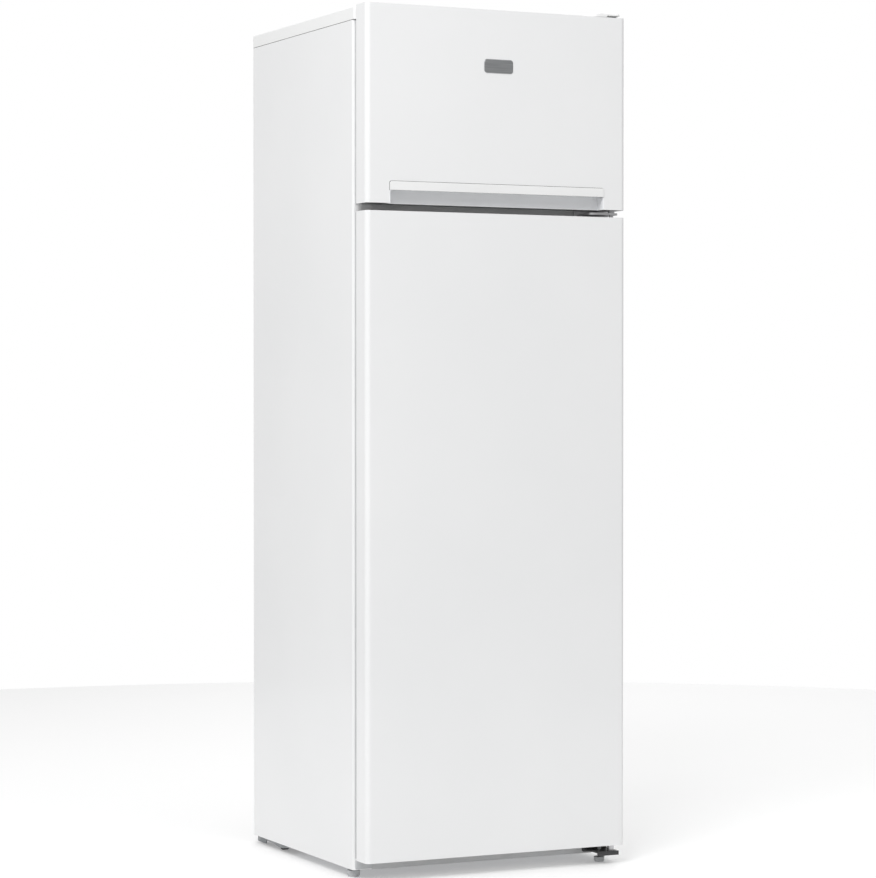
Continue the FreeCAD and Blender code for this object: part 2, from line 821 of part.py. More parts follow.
def compressor_grommets():
    rings = []
    for x, y in grommet_places():
        neck_z0 = tray_top_z + grommet_flange
        neck_z1 = tray_top_z + grommet_height - grommet_flange
        low = rod(grommet_radius, V(x, y, tray_top_z), V(x, y, neck_z0))
        neck = rod(grommet_radius - 3, V(x, y, neck_z0), V(x, y, neck_z1))
        high = rod(grommet_radius, V(x, y, neck_z1), V(x, y, tray_top_z + grommet_height))
        rings.append(joined([low, neck, high]))
    return Part.makeCompound(rings)


def relay_box(shell):
    """Starter and overload housing on the compressor's side, with a cable gland at its back."""
    x0 = compressor_x + compressor_radius - relay_inset
    x1 = compressor_x + compressor_radius + relay_reach
    back = compressor_y + relay_half_width
    z0 = relay_bottom_z
    block = plan_block(x0, x1, compressor_y - relay_half_width, back, z0, z0 + relay_height, [0, 4, 4, 0])
    gland_x = x1 - 12
    gland_z = z0 + gland_rise
    gland = rod(gland_radius, V(gland_x, back, gland_z), V(gland_x, back + gland_length, gland_z))
    bore = rod(gland_bore, V(gland_x, back - gland_length, gland_z),
               V(gland_x, back + gland_length + 2, gland_z))
    return joined([block, gland]).cut(bore).cut(shell)


def drip_tray():
    """Open tray on top of the compressor, where defrost water dries off."""
    z0 = compressor_top_z
    z1 = z0 + drip_tray_height
    w = drip_tray_wall
    x0, x1 = compressor_x - drip_tray_half_width, compressor_x + drip_tray_half_width
    y0, y1 = compressor_y - drip_tray_front, compressor_y + drip_tray_rear
    outer = plan_block(x0, x1, y0, y1, z0, z1, [10] * 4)
    inner = plan_block(x0 + w, x1 - w, y0 + w, y1 - w, z0 + w, z1, [10 - w] * 4)
    return outer.cut(inner)


def run_heights():
    top = cabinet_top_z - condenser_top_margin
    count = int((top - condenser_bottom_z) / run_pitch) + 1
    return [condenser_bottom_z + i * run_pitch for i in range(count)]


def condenser_tube():
    """One serpentine from the inlet in the middle of the bottom to the outlet at the right side."""
    y = condenser_y
    heights = run_heights()
    points = [V(inlet_x, y, condenser_end_z), V(inlet_x, y, heights[0])]
    side = 1
    for i, z in enumerate(heights):
        points.append(V(side * run_half_length, y, z))
        if i + 1 < len(heights):
            points.append(V(side * run_half_length, y, heights[i + 1]))
        side = -side
    last_side = -side
    if last_side < 0:
        points[-1] = V(-run_half_length, y, heights[-1])
        points.append(V(-run_half_length, y, heights[-1] + run_pitch / 2))
        points.append(V(outlet_x, y, heights[-1] + run_pitch / 2))
    else:
        points[-1] = V(outlet_x, y, heights[-1])
    points.append(V(outlet_x, y, condenser_end_z))
    return bent_pipe(points, tube_radius, condenser_bend)


def condenser_wires():
    """Two layers of upright wires, one on each side of the serpentine."""
    heights = run_heights()
    z0 = heights[0] - wire_overrun
    z1 = heights[-1] + wire_overrun
    offset = tube_radius + wire_radius
    wires = []
    for i in range(wire_count):
        x = (i - (wire_count - 1) / 2) * wire_pitch
        if abs(x) > run_half_length - 4:
            continue
        for side in (-1, 1):
            y = condenser_y + side * offset
            wires.append(rod(wire_radius, V(x, y, z0), V(x, y, z1)))
    return wires


def condenser_clips():
    """Spacers between the cabinet's back and the condenser, proud enough to keep it off a wall."""
    heights = run_heights()
    picked = [heights[2], heights[len(heights) // 2], heights[-3]]
    x = clip_wire * wire_pitch
    clips = []
    for side in (-1, 1):
        for z in picked:
            block = box(side * x - clip_width / 2, side * x + clip_width / 2, cabinet_back_y, depth / 2,
                        z - clip_half_height, z + clip_half_height)
            hole = rod(tube_radius, V(side * x - 20, condenser_y, z), V(side * x + 20, condenser_y, z))
            clips.append(block.cut(hole))
    return Part.makeCompound(clips)


def capillary_port():
    """Where the capillary goes up through the base sheet."""
    x = half_w - capillary_inset
    return rod(capillary_radius + seam, V(x, drier_y, niche_height_z - 2), V(x, drier_y, niche_height_z + 2))


def refrigerant_pipes(shell):
    """Delivery and return pipes, filter drier and capillary."""
    left = compressor_x - compressor_radius
    y = compressor_y
    delivery = bent_pipe([V(left + 15, y, delivery_z), V(inlet_x, y, delivery_z),
                          V(inlet_x, condenser_y, delivery_z), V(inlet_x, condenser_y, condenser_end_z)],
                         tube_radius, pipe_bend)
    back = bent_pipe([V(left + 15, y, return_z), V(left - return_left, y, return_z),
                      V(left - return_left, y, niche_height_z)], pipe_radius, pipe_bend)
    x = outlet_x
    turn_z = condenser_end_z - 36
    drop = bent_pipe([V(x, condenser_y, condenser_end_z), V(x, condenser_y, turn_z), V(x, drier_y, turn_z),
                      V(x, drier_y, drier_top_z)], tube_radius, pipe_bend - 1)
    drier = rod(drier_radius, V(x, drier_y, drier_bottom_z), V(x, drier_y, drier_top_z))
    ends = [e for e in drier.Edges if abs(e.Length - 2 * math.pi * drier_radius) < 0.1]
    drier = drier.makeFillet(drier_radius / 2.25, ends)
    up_x = half_w - capillary_inset
    capillary = bent_pipe([V(x, drier_y, drier_bottom_z), V(x, drier_y, capillary_low_z),
                           V(up_x, drier_y, capillary_low_z), V(up_x, drier_y, niche_height_z)],
                          capillary_radius, capillary_bend)
    line = joined([drop, drier, capillary])
    return Part.makeCompound([delivery.cut(shell), back.cut(shell), line])


# ------------------------------------------------------------------ interior
def pane(z, back_y, half):
    front = cabinet_front_y + shelf_set_back
    x = half - pane_gap
    return plan_block(-x, x, front, back_y, z, z + glass, [pane_corner] * 4)


def trim_pair(glass_pane, half):
    """Front and rear edge trims that grip one pane."""
    b = glass_pane.BoundBox
    x = half - rib_depth - 1
    z0 = b.ZMin - trim_wall
    step_z = b.ZMax + trim_wall
    y0 = b.YMin - trim_reach
    y1 = b.YMin + trim_reach
    front = box(-x, x, y0, y1, z0, b.ZMax + trim_front_rise)
    front = front.cut(box(-x, x, y1 - trim_hook, y1, step_z, b.ZMax + trim_front_rise))
    y0 = b.YMax - trim_reach
    y1 = b.YMax + 5
    rear = box(-x, x, y0, y1, z0, b.ZMax + trim_rear_rise)
    rear = rear.cut(box(-x, x, y0, y0 + trim_hook, step_z, b.ZMax + trim_rear_rise))
    return [front.cut(glass_pane), rear.cut(glass_pane)]


def shelf_panes():
    heights = [rib_levels()[i] for i in shelf_levels]
    return [pane(z, fridge_rear_y - shelf_back_gap, fridge_half) for z in heights]


def crisper_cover():
    return pane(crisper_cover_z(), step_end_y - 26, fridge_half)


def shelf_trims():
    trims = []
    for glass_pane in shelf_panes() + [crisper_cover()]:
        trims += trim_pair(glass_pane, fridge_half)
    return Part.makeCompound(trims)


def freezer_shelf():
    """Wire shelf: a frame of two long rods and cross rods welded on top."""
    z = freezer_shelf_level() + shelf_rod
    front = cabinet_front_y + shelf_set_back - 2
    back = freezer_rear_y - 25
    x = freezer_half - pane_gap - shelf_rod
    pieces = []
    for y in (front, (front + back) / 2, back):
        pieces.append(rod(shelf_rod, V(-x, y, z), V(x, y, z)))
    cross_z = z + shelf_rod + cross_rod / 3
    for i in range(cross_rod_count):
        px = -x + 6 + i * (2 * x - 12) / (cross_rod_count - 1)
        pieces.append(rod(cross_rod, V(px, front - 6, cross_z), V(px, back + 6, cross_z)))
    return joined(pieces)


def crisper_side(grow, top_z):
    """Depth and height outline of the drawer, which follows the compartment's step."""
    front = cabinet_front_y + crisper_set_back
    bottom = fridge_floor_z + moving_gap
    back_low = step_y - crisper_lean
    g = grow
    return [(front + g, bottom + g), (back_low - g, bottom + g), (back_low - g, step_rise_z - crisper_shoulder),
            (step_end_y - crisper_upper_back - g, top_z), (front + g, top_z)]


def crisper_drawer():
    """Clear drawer under the lowest shelf, with a rolled front lip and a scooped grip."""
    top = fridge_floor_z + crisper_height
    half = fridge_half - crisper_side_gap
    radii = [10, 10, 10, 0, 0]
    outer = side_prism(crisper_side(0, top), radii, -half, half)
    w = crisper_wall
    inner = side_prism(crisper_side(w, top + 0.01), [8, 8, 8, 0, 0], -half + w, half - w)
    front = cabinet_front_y + crisper_set_back
    lip = box(-half, half, front - crisper_lip, front + w, top - crisper_lip_height, top)
    x = crisper_grip_half
    scoop = box(-x, x, front - crisper_lip + 2, front, top - crisper_lip_height, top - 4)
    return joined([outer.cut(inner), lip]).cut(scoop)


def housing_box():
    """Corner positions of the control housing on the right-hand wall."""
    x1 = fridge_half
    x0 = x1 - housing_thickness
    y0 = ridge_back_y + housing_from_ridge
    z1 = fridge_ceiling_z - housing_below_ceiling
    return x0, x1, y0, y0 + housing_length, z1 - housing_height, z1


def knob_centre():
    x0, x1, y0, y1, z0, z1 = housing_box()
    return y0 + housing_length * knob_share, (z0 + z1) / 2


def switch_centre():
    x0, x1, y0, y1, z0, z1 = housing_box()
    return fridge_half - fridge_ridge_gap - ridge_width / 2, (z0 + z1) / 2


def control_housing():
    """Moulded cover over the thermostat and door switch."""
    x0, x1, y0, y1, z0, z1 = housing_box()
    w = moulding_wall
    r = housing_corner
    outer = plan_block(x0, x1, y0, y1, z0, z1, [r, 0, 0, r])
    inner = plan_block(x0 + w, x1, y0 + w, y1 - w, z0 + w, z1 - w, [r - 2, 0, 0, r - 2])
    ky, kz = knob_centre()
    sx, sz = switch_centre()
    shaft = rod(shaft_radius + running_clearance, V(x0 - 5, ky, kz), V(x0 + 15, ky, kz))
    plunger = rod(switch_radius + running_clearance, V(sx, y0 - 5, sz), V(sx, y0 + 5, sz))
    return outer.cut(inner).cut(shaft).cut(plunger)


def lamp_lens():
    """Ribbed clear cover of the interior lamp, behind the control housing."""
    x0, x1, y0, y1, z0, z1 = housing_box()
    e = lens_inset
    w = lens_wall
    r = lens_corner
    outer = plan_block(x0 + e, x1, y1, y1 + lens_length, z0 + e, z1 - e, [0, 0, 0, r])
    inner = plan_block(x0 + e + w, x1, y1 + w, y1 + lens_length - w, z0 + e + w, z1 - e - w, [0, 0, 0, r - w])
    return outer.cut(inner)


def interior_lamp():
    """Lamp holder and bulb under the lens."""
    x0, x1, y0, y1, z0, z1 = housing_box()
    z = (z0 + z1) / 2
    x = x1 - lamp_inset
    holder = rod(lamp_holder_radius, V(x, y1 + 2, z), V(x, y1 + 22, z))
    bulb = Part.makeSphere(bulb_radius, V(x, y1 + 48, z))
    neck = Part.makeCone(6.5, 9.5, 22, V(x, y1 + 22, z), V(0, 1, 0))
    return joined([holder, neck, bulb])


def thermostat_knob():
    x0, x1, y0, y1, z0, z1 = housing_box()
    y, z = knob_centre()
    body = rod(knob_radius, V(x0 - moving_gap - knob_height, y, z), V(x0 - moving_gap, y, z))
    rim = [e for e in body.Edges if e.BoundBox.XMax < x0 - knob_height and e.BoundBox.YLength > 1]
    body = body.makeFillet(1.5, rim)
    face_x = x0 - moving_gap - knob_height
    ridge = box(face_x - 3, face_x + 2, y - knob_ridge / 2, y + knob_ridge / 2,
                z - knob_radius + 3, z + knob_radius - 1)
    shaft = rod(shaft_radius, V(x0 - moving_gap, y, z), V(x0 + 14, y, z))
    return joined([body, ridge, shaft])


def door_switch_button():
    """Spring plunger that the closed door's ridge holds in."""
    x0, x1, y0, y1, z0, z1 = housing_box()
    x, z = switch_centre()
    front = ridge_back_y + switch_air
    shoulder = y0 + moulding_wall + switch_travel + moving_gap
    plunger = rod(switch_radius, V(x, front, z), V(x, shoulder + 8, z))
    flange = rod(switch_radius + switch_flange, V(x, shoulder, z), V(x, shoulder + switch_flange, z))
    tip = [e for e in plunger.Edges if e.BoundBox.YMax < front + 0.01]
    return joined([plunger.makeFillet(1.5, tip), flange])


# --------------------------------------------------------------------- doors
def door_block(inset, z0, z1):
    """The door's outline in plan, drawn in by an inset."""
    front_r = door_front_radius - inset
    back_r = door_back_radius - inset
    x = half_w - inset
    return plan_block(-x, x, door_front_y + inset, door_back_y - inset, z0, z1,
                      [front_r, front_r, back_r, back_r])


def handle_pocket(back_y, inset):
    """Space of the pocket handle: open at the door's bottom, high corners rounded."""
    x = handle_half_width - inset
    top = freezer_door_bottom_z + handle_height - inset
    r = handle_corner - inset
    return front_block(-x, x, freezer_door_bottom_z - 1, top, door_front_y - 5, back_y, [0, 0, r, r])


def door_skin(z0, z1):
    skin = door_block(0, z0, z1).cut(door_block(sheet, z0, z1))
    x = half_w - door_flange
    return skin.cut(box(-x, x, door_back_y - sheet - 0.01, door_back_y, z0, z1))


def bush_hole(z0, z1):
    return rod(bush_radius, V(pin_x, pin_y, z0), V(pin_x, pin_y, z1))


def door_caps(z0, z1):
    low = door_block(sheet, z0, z0 + end_cap_height).cut(bush_hole(z0, z0 + end_cap_height))
    high = door_block(sheet, z1 - end_cap_height, z1).cut(bush_hole(z1 - end_cap_height, z1))
    return low, high


def ridge_frame(half, z0, z1, inset, y0, y1):
    """Frame-shaped ridge of a door liner, drawn in by an inset on every side."""
    leg = ridge_width - 2 * inset
    return ring(half - inset, z0 + inset, z1 - inset, leg, y0, y1, 14 - inset)


def door_ridge(door):
    """Half-width, bottom and top of a door liner's ridge."""
    if door == "freezer":
        return (freezer_half - freezer_ridge_gap, freezer_floor_z + ridge_end_gap,
                freezer_ceiling_z - ridge_end_gap)
    return (fridge_half - fridge_ridge_gap, fridge_floor_z + ridge_end_gap, fridge_ceiling_z - ridge_end_gap)


def bin_ledges(ridge_half, floor_z):
    """Two ledges with upstands that one bin hooks over."""
    inner = ridge_half - ridge_width
    y0 = door_back_y + liner_wall
    hook_y = y0 + hook_set_back
    ledge = box(inner - ledge_width, inner + 2, y0, y0 + ledge_depth, floor_z - ledge_height,
                floor_z - ledge_air)
    upstand = box(inner - ledge_width + 2, inner + 2, hook_y, hook_y + hook_thickness, floor_z - 1,
                  floor_z + hook_height)
    piece = ledge.fuse(upstand)
    return [piece, mirrored(piece)]


def door_liner(door, z0, z1, bins):
    """Inner door panel: flat edge, hollow ridge frame and bin ledges."""
    half, r0, r1 = door_ridge(door)
    w = liner_wall
    x = half_w - door_liner_edge
    flat = front_block(-x, x, z0 + 3, z1 - 3, door_back_y, door_back_y + w, [5] * 4)
    x_in = half_w - door_flange - 0.2
    seat = box(-x_in, x_in, door_back_y - sheet, door_back_y, z0 + 3, z1 - 3)
    ridge = ridge_frame(half, r0, r1, 0, door_back_y, ridge_back_y)
    hollow = ridge_frame(half, r0, r1, w, door_back_y - sheet - 1, ridge_back_y - w)
    pieces = [flat, seat, ridge]
    for floor_z, _ in bins:
        pieces += bin_ledges(half, floor_z)
    return joined(pieces).cut(hollow)


def door_foam(door, z0, z1):
    half, r0, r1 = door_ridge(door)
    core = door_block(sheet, z0 + end_cap_height, z1 - end_cap_height)
    fill = ridge_frame(half, r0, r1, liner_wall, door_back_y - sheet - 1, ridge_back_y - liner_wall)
    return core.fuse(fill)


def gasket(z0, z1):
    """Hollow-section seal around one door: base in the liner, soft neck, magnetic face."""
    x = half_w - seal_side_inset
    y_base = door_back_y + liner_wall
    y_neck = y_base + seal_base_thickness
    y_face = cabinet_front_y - seal_air - seal_face_thickness
    e = seal_base_extra
    n = seal_neck_inset
    base = ring(x + e, z0 - e, z1 + e, seal_width, y_base, y_neck, seal_corner)
    neck = ring(x - n, z0 + n, z1 - n, seal_width - 2 * n, y_neck, y_face, seal_corner - 1)
    face = ring(x, z0, z1, seal_width, y_face, cabinet_front_y - seal_air, seal_corner)
    return joined([base, neck, face])


def door_bin(ridge_half, size, reach):
    """Door bin with a hook pocket at each end, open at the top."""
    floor_z, height = size
    half = ridge_half - ridge_width - bin_gap
    y0 = door_back_y + liner_wall + moving_gap
    y1 = y0 + reach
    w = bin_wall
    z1 = floor_z + height
    r = bin_corner
    outer = plan_block(-half, half, y0, y1, floor_z, z1, [3, 3, r, r])
    inner = plan_block(-half + w, half - w, y0 + w, y1 - w, floor_z + w, z1, [2, 2, r - 2, r - 2])
    shell = outer.cut(inner)
    rim = plan_block(-half, half, y1 - 2 * bin_rim, y1 + bin_rim, z1 - bin_rim_height, z1,
                     [0, 0, 3 * bin_rim, 3 * bin_rim])
    shell = shell.fuse(rim.cut(inner))
    hook_y = door_back_y + liner_wall + hook_set_back
    hook_end = hook_y + hook_thickness
    top = floor_z + hook_height + moving_gap
    pocket = box(half - ledge_width, half, hook_y - hook_pocket_wall, hook_end + hook_pocket_wall,
                 floor_z, top + w)
    notch = box(half - ledge_width + hook_pocket_wall, half + 1, hook_y - moving_gap, hook_end + moving_gap,
                floor_z - 1, top)
    shell = shell.fuse(pocket).fuse(mirrored(pocket))
    return shell.cut(notch).cut(mirrored(notch)).removeSplitter()


def bush(z0, z1):
    return tube(bush_radius, pin_radius + running_clearance, V(pin_x, pin_y, z0), V(pin_x, pin_y, z1))


def bush_pair(z0, z1):
    """Bushes in a door's bottom and top caps."""
    return Part.makeCompound([bush(z0, z0 + end_cap_height), bush(z1 - end_cap_height, z1)])


def handle_lip():
    """Pull strip across the freezer door's bottom, slightly proud of the door."""
    outline = handle_pocket(door_front_y - lip_proud + lip_thickness, 0)
    z0 = freezer_door_bottom_z + handle_height - lip_height
    z1 = freezer_door_bottom_z + handle_height
    y0 = door_front_y - lip_proud
    keep = box(-half_w, half_w, y0, y0 + lip_thickness, z0, z1)
    strip = outline.common(keep)
    top = [e for e in strip.Edges if e.BoundBox.YMax < y0 + 0.01]
    return strip.makeFillet(0.8, top)


def handle_cup():
    """Grey pocket behind the lip: back, roof and two ends."""
    back = door_front_y + handle_depth
    outer = handle_pocket(back, 0)
    inner = handle_pocket(back - handle_wall, handle_wall)
    keep = box(-half_w, half_w, door_front_y, back, freezer_door_bottom_z, cabinet_top_z)
    return outer.cut(inner).common(keep).cut(lip_volume())


def lip_volume():
    y0 = door_front_y - lip_proud
    z0 = freezer_door_bottom_z + handle_height - lip_height
    return box(-half_w, half_w, y0, y0 + lip_thickness, z0, z0 + lip_height)


def badge():
    """Blank plate on the freezer door."""
    z1 = cabinet_top_z - badge_below_top + badge_height / 2
    plate = front_block(-badge_width / 2, badge_width / 2, z1 - badge_height, z1,
                        door_front_y - badge_thickness, door_front_y, [6] * 4)
    rim = [e for e in plate.Edges if e.BoundBox.YMax < door_front_y - badge_thickness + 0.01]
    return plate.makeFillet(0.5, rim)


def grip_groove():
    x = handle_half_width - 2
    y0 = door_front_y + grip_front
    return plan_block(-x, x, y0, y0 + grip_length, fridge_door_top_z - grip_depth, fridge_door_top_z + 1,
                      [6] * 4)


# -------------------------------------------------------------------- hinges
def top_hinge_bracket():
    """Plate screwed to the cabinet's top, reaching out over the door's pin."""
    x0 = half_w - hinge_cover_left + hinge_cover_slope / 2
    x1 = half_w - bracket_edge - hinge_cover_wall - 1
    y0 = pin_y - bracket_reach
    plate = plan_block(x0, x1, y0, cabinet_front_y + top_plate_set_back, cabinet_top_z,
                       cabinet_top_z + top_plate, [22, 8, 3, 3])
    return plate.cut(pins_solid()).cut(all_screws())


def top_hinge_cover():
    """Snap-on cover over the top hinge, its underside stepped up over the door."""
    x0 = half_w - hinge_cover_left
    x1 = half_w - bracket_edge
    y0 = door_front_y + 2.5
    y1 = cabinet_front_y + top_cover_set_back
    z0 = cabinet_top_z
    z1 = cabinet_top_z + hinge_cover_rise
    outer = plan_block(x0, x1, y0, y1, z0, z1, [24, 8, 5, 5])
    slope = Part.Face(Part.makePolygon([V(x0 - 1, y0 - 1, z0 + 2), V(x0 - 1, y0 - 1, z1 + 1),
                                        V(x0 + hinge_cover_slope, y0 - 1, z1 + 1), V(x0 - 1, y0 - 1, z0 + 2)]))
    outer = outer.cut(slope.extrude(V(0, y1 - y0 + 2, 0)))
    w = hinge_cover_wall
    inner = plan_block(x0 + w, x1 - w, y0 + w, y1 - w, z0, z1 - w, [22, 6, 3, 3])
    slope_in = slope.translated(V(0, 0, -w))
    inner = inner.cut(slope_in.extrude(V(0, y1 - y0 + 2, 0)))
    lift = box(x0 - 1, x1 + 1, y0 - 1, cabinet_front_y - 8, z0 - 1, z0 + 2)
    return outer.cut(inner).cut(lift)


def hinge_arm(z0, z1, flange_z0, flange_z1, span):
    """Folded bracket: plate under or over the pin and a flange on the cabinet's front."""
    x1 = half_w - bracket_edge
    x0 = x1 - span
    front = pin_y - bracket_reach
    back = cabinet_front_y
    plate = plan_block(x0 + 10, x1, front, back, z0, z1, [12, 8, 0, 0])
    flange = front_block(x0, x1, flange_z0, flange_z1, back - hinge_flange, back, [3] * 4)
    return plate.fuse(flange)


def middle_hinge_bracket():
    t = hinge_plate / 2
    arm = hinge_arm(split_z - t, split_z + t, split_z - bracket_half_flange, split_z + bracket_half_flange,
                    middle_bracket_width)
    return arm.cut(pins_solid()).cut(all_screws()).removeSplitter()


def bottom_hinge_bracket():
    z0 = floor_clearance + 4
    flange_z0 = floor_clearance + 2
    arm = hinge_arm(z0, z0 + hinge_plate, flange_z0, flange_z0 + 2 * bracket_half_flange,
                    bottom_bracket_width)
    x1 = half_w - bracket_edge
    apron_y = pin_y - bracket_reach - 2
    apron = box(x1 - apron_width, x1, apron_y, apron_y + hinge_flange, floor_clearance, z0 + hinge_plate)
    arm = arm.fuse(apron)
    stem = rod(foot_stem + running_clearance, V(right_foot_x, right_foot_y, 0),
               V(right_foot_x, right_foot_y, right_stem_top_z))
    return arm.cut(pins_solid()).cut(stem).cut(all_screws()).removeSplitter()


def pin_list():
    """Top, middle and bottom hinge pins; the lower two have a shoulder that carries the door."""
    x, y = pin_x, pin_y
    top = rod(pin_radius, V(x, y, freezer_door_top_z - pin_engagement), V(x, y, cabinet_top_z + top_plate))
    shoulder = bush_radius - 0.5
    middle = joined([
        rod(pin_radius, V(x, y, fridge_door_top_z - pin_engagement),
            V(x, y, freezer_door_bottom_z + pin_engagement)),
        rod(shoulder, V(x, y, split_z + hinge_plate / 2), V(x, y, freezer_door_bottom_z - shoulder_air))])
    plate_z = floor_clearance + 4 + hinge_plate
    bottom = joined([
        rod(pin_radius, V(x, y, plate_z - hinge_plate), V(x, y, fridge_door_bottom_z + pin_engagement)),
        rod(shoulder, V(x, y, plate_z), V(x, y, fridge_door_bottom_z - shoulder_air))])
    return [top, middle, bottom]


def pins_solid():
    return Part.makeCompound(pin_list())


# ---------------------------------------------------------------------- feet
def foot(x, y, flats, height, stem_top):
    """Levelling foot: hexagonal pad with a rounded sole and a screwed stem."""
    pad = hexagon(x, y, flats, 0, height)
    sole = Part.makeCone(flats / 2 - sole_bevel, flats / 2 + 4, height, V(x, y, 0), V(0, 0, 1))
    stem = rod(foot_stem, V(x, y, height), V(x, y, stem_top))
    return joined([pad.common(sole), stem])


# --------------------------------------------------------------------- build
def build():
    os.makedirs("parts", exist_ok=True)
    right = side_panel()
    save("side_panel_right", right.cut(all_screws()))
    save("side_panel_left", mirrored(right))
    save("top_cover", top_cover())
    save("back_panel", back_panel())
    save("floor_pan", floor_pan())
    save("front_rails", front_rails())
    save("bottom_front_rail", bottom_front_rail())
    save("cabinet_foam", cabinet_foam())
    save("fridge_liner", fridge_liner())
    save("freezer_liner", freezer_liner())
    save("evaporator_plates", Part.makeCompound(evaporator_plates()))

    save("compressor_tray", compressor_tray())
    shell = compressor()
    save("compressor", shell)
    save("compressor_grommets", compressor_grommets())
    save("relay_box", relay_box(shell))
    save("drip_tray", drip_tray())
    save("condenser_tube", condenser_tube())
    save("condenser_wires", Part.makeCompound(condenser_wires()))
    save("condenser_clips", condenser_clips())
    save("refrigerant_pipes", refrigerant_pipes(shell))
    save("drain_pipe", drain_pipe())

    save("control_housing", control_housing())
    save("lamp_lens", lamp_lens())
    save("interior_lamp", interior_lamp())
    save("thermostat_knob", thermostat_knob())
    save("door_switch_button", door_switch_button())
    save("fridge_shelf_panes", Part.makeCompound(shelf_panes()))
    save("crisper_cover_glass", crisper_cover())
    save("shelf_trims", shelf_trims())
    save("freezer_shelf", freezer_shelf())
    save("crisper_drawer", crisper_drawer())

    save("top_hinge_bracket", top_hinge_bracket())
    save("top_hinge_cover", top_hinge_cover())
    save("middle_hinge_bracket", middle_hinge_bracket())
    save("bottom_hinge_bracket", bottom_hinge_bracket())
    save("hinge_pins", pins_solid())
    save("fasteners", all_screws())

    left = foot(left_foot_x, left_foot_y, foot_flats_left, foot_height_left, left_stem_top_z)
    save("front_left_foot", left)
    right = foot(right_foot_x, right_foot_y, foot_flats_right, foot_height_right, right_stem_top_z)
    save("front_right_foot", right)
    save("rear_left_roller", roller(-1))
    save("rear_right_roller", roller(1))

    z0, z1 = freezer_door_bottom_z, freezer_door_top_z
    pocket = handle_pocket(door_front_y + handle_depth, 0)
    save("freezer_door_skin", door_skin(z0, z1).cut(pocket))
    low, high = door_caps(z0, z1)
    save("freezer_door_end_caps", Part.makeCompound([low.cut(pocket), high]))
    save("freezer_door_foam", door_foam("freezer", z0, z1).cut(pocket))
    save("freezer_door_liner", door_liner("freezer", z0, z1, [freezer_bin]))
    save("freezer_door_gasket", gasket(z0 + seal_edge, cover_bottom_z - seal_top_inset))
    save("freezer_door_bushes", bush_pair(z0, z1))
    save("freezer_door_bin", door_bin(door_ridge("freezer")[0], freezer_bin, freezer_bin_depth))
    save("handle_lip", handle_lip())
    save("handle_cup", handle_cup())
    save("badge", badge())

    z0, z1 = fridge_door_bottom_z, fridge_door_top_z
    save("fridge_door_skin", door_skin(z0, z1))
    low, high = door_caps(z0, z1)
    save("fridge_door_end_caps", Part.makeCompound([low, high.cut(grip_groove())]))
    save("fridge_door_foam", door_foam("fridge", z0, z1))
    save("fridge_door_liner", door_liner("fridge", z0, z1, [lower_bin, middle_bin, upper_bin]))
    save("fridge_door_gasket", gasket(z0 + seal_edge, z1 - seal_edge))
    save("fridge_door_bushes", bush_pair(z0, z1))
    half = door_ridge("fridge")[0]
    for name, size in (("lower", lower_bin), ("middle", middle_bin), ("upper", upper_bin)):
        save("fridge_door_bin_" + name, door_bin(half, size, fridge_bin_depth))


build()
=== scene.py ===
import bpy
import bmesh
import math
import numpy as np
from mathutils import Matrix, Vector


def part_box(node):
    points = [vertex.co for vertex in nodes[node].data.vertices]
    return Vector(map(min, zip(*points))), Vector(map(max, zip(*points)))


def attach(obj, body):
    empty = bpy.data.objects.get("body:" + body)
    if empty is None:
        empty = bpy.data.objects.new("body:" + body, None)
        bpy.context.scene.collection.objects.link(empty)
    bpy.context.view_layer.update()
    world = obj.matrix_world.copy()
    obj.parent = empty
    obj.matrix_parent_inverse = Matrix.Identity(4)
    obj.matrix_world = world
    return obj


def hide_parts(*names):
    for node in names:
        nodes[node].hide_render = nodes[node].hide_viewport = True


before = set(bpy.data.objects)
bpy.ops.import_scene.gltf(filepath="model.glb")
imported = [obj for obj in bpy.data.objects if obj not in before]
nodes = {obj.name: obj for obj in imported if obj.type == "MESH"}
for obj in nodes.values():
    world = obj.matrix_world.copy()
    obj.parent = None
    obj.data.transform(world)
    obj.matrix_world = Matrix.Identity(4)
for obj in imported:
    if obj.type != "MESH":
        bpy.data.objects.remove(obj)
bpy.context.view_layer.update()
mm = 0.001

# ---- Studio -------------------------------------------------------------------------------
# A round pale floor, even white air and four soft lights. The camera stands to the left of the
# refrigerator's front at half its height, so that its left side shows beside the doors.
scene = bpy.context.scene
scene.view_settings.view_transform = "Standard"

camera_yaw = math.radians(25.72)
camera_pitch = math.radians(-0.829)
camera_place = (-2.4318, -5.0738, 0.8895)
camera_data = bpy.data.cameras.new("camera")
camera_data.lens = 118.1
camera = bpy.data.objects.new("camera", camera_data)
camera.location = camera_place
sight = Vector((math.sin(camera_yaw) * math.cos(camera_pitch),
                math.cos(camera_yaw) * math.cos(camera_pitch), math.sin(camera_pitch)))
camera.rotation_euler = sight.to_track_quat("-Z", "Y").to_euler()
scene.collection.objects.link(camera)
scene.camera = camera

air = bpy.data.worlds.new("studio_air")
air.use_nodes = True
scene.world = air
air_light = air.node_tree.nodes["Background"]
air_light.inputs["Color"].default_value = (1.0, 1.0, 1.0, 1.0)
air_light.inputs["Strength"].default_value = 0.48
backdrop = air.node_tree.nodes.new("ShaderNodeBackground")
backdrop.inputs["Color"].default_value = (1.0, 1.0, 1.0, 1.0)
backdrop.inputs["Strength"].default_value = 1.0
seen_directly = air.node_tree.nodes.new("ShaderNodeLightPath")
either = air.node_tree.nodes.new("ShaderNodeMixShader")
air.node_tree.links.new(seen_directly.outputs["Is Camera Ray"], either.inputs["Fac"])
air.node_tree.links.new(air_light.outputs["Background"], either.inputs[1])
air.node_tree.links.new(backdrop.outputs["Background"], either.inputs[2])
air.node_tree.links.new(either.outputs["Shader"], air.node_tree.nodes["World Output"].inputs["Surface"])


